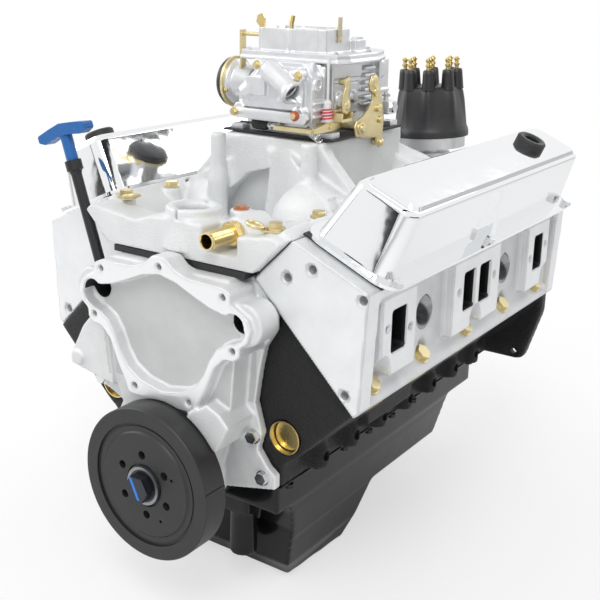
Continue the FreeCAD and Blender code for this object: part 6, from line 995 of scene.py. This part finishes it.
floor_mesh.materials.append(floor_finish.material)


def flag(name, corners):
    """A dark board beside the light, which only bright metal sees."""
    mesh = bpy.data.meshes.new(name)
    mesh.from_pydata(corners, [], [(0, 1, 2, 3)])
    board = bpy.data.objects.new(name, mesh)
    bpy.context.scene.collection.objects.link(board)
    mesh.materials.append(flag_finish.material)
    board.visible_camera = False
    board.visible_diffuse = False
    board.visible_shadow = False


flag_finish = Finish("flag_black", Roughness=1.0, Base_Color=(0.012, 0.012, 0.012, 1))
flag("flag_right", [(2.6, -2.2, 0.15), (2.6, 1.0, 0.15), (2.6, 1.0, 0.75), (2.6, -2.2, 0.75)])
flag("flag_over", [(0.55, -2.5, 2.2), (0.95, -2.5, 2.2), (0.95, 2.0, 2.2), (0.55, 2.0, 2.2)])
flag("flag_left", [(-0.58, -3.2, 0.0), (-0.34, -3.2, 0.0), (-0.34, -3.2, 1.9), (-0.58, -3.2, 1.9)])
flag("flag_corner", [(-0.16, -3.2, 0.0), (-0.06, -3.2, 0.0), (-0.06, -3.2, 1.9), (-0.16, -3.2, 1.9)])
flag("flag_far", [(-3.25, -3, 0.2), (-2.95, -3, 0.2), (-2.95, -3, 1.9), (-3.25, -3, 1.9)])

world = bpy.data.worlds.new("studio")
bpy.context.scene.world = world
world.use_nodes = True
sky = world.node_tree
background = sky.nodes["Background"]
path = sky.nodes.new("ShaderNodeLightPath")
seen = sky.nodes.new("ShaderNodeMath")
seen.operation = "MAXIMUM"
sky.links.new(path.outputs["Is Camera Ray"], seen.inputs[0])
sky.links.new(path.outputs["Is Glossy Ray"], seen.inputs[1])
both = sky.nodes.new("ShaderNodeMath")
both.operation = "MAXIMUM"
sky.links.new(seen.outputs[0], both.inputs[0])
sky.links.new(path.outputs["Is Transmission Ray"], both.inputs[1])
strength = sky.nodes.new("ShaderNodeMapRange")
sky.links.new(both.outputs[0], strength.inputs[0])
strength.inputs[3].default_value = 0.58
strength.inputs[4].default_value = 1.0
sky.links.new(strength.outputs[0], background.inputs["Strength"])
background.inputs["Color"].default_value = (1, 1, 1, 1)

middle = (0.0, -0.3, 0.15)
panel("key_light", (1.0, -2.4, 2.8), middle, (1.4, 1.4), 52)
panel("left_light", (-2.4, -1.2, 1.6), middle, (1.2, 1.8), 24)
panel("back_light", (0.6, 2.2, 2.2), middle, (1.6, 1.2), 18)

CAMERA_TURN = (35.712, 16.208, 0.67)
FOCAL = 1000.3
IMAGE = 600
CENTRE = (267.77, 265.19)
turn, lift, roll = (math.radians(angle) for angle in CAMERA_TURN)
back = Vector((math.sin(turn) * math.cos(lift), -math.cos(turn) * math.cos(lift), math.sin(lift)))
right = Vector((math.cos(turn), math.sin(turn), 0))
top = back.cross(right)
right, top = (math.cos(roll) * right + math.sin(roll) * top,
              -math.sin(roll) * right + math.cos(roll) * top)
camera = bpy.data.cameras.new("camera")
camera.lens = FOCAL * camera.sensor_width / IMAGE
camera.shift_x = 0.5 - CENTRE[0] / IMAGE
camera.shift_y = CENTRE[1] / IMAGE - 0.5
holder = bpy.data.objects.new("camera", camera)
bpy.context.scene.collection.objects.link(holder)
holder.matrix_world = Matrix((right, top, back)).transposed().to_4x4()
holder.location = (0.7045, -1.4008, 0.5562)
bpy.context.scene.camera = holder
bpy.context.scene.view_settings.view_transform = "Standard"
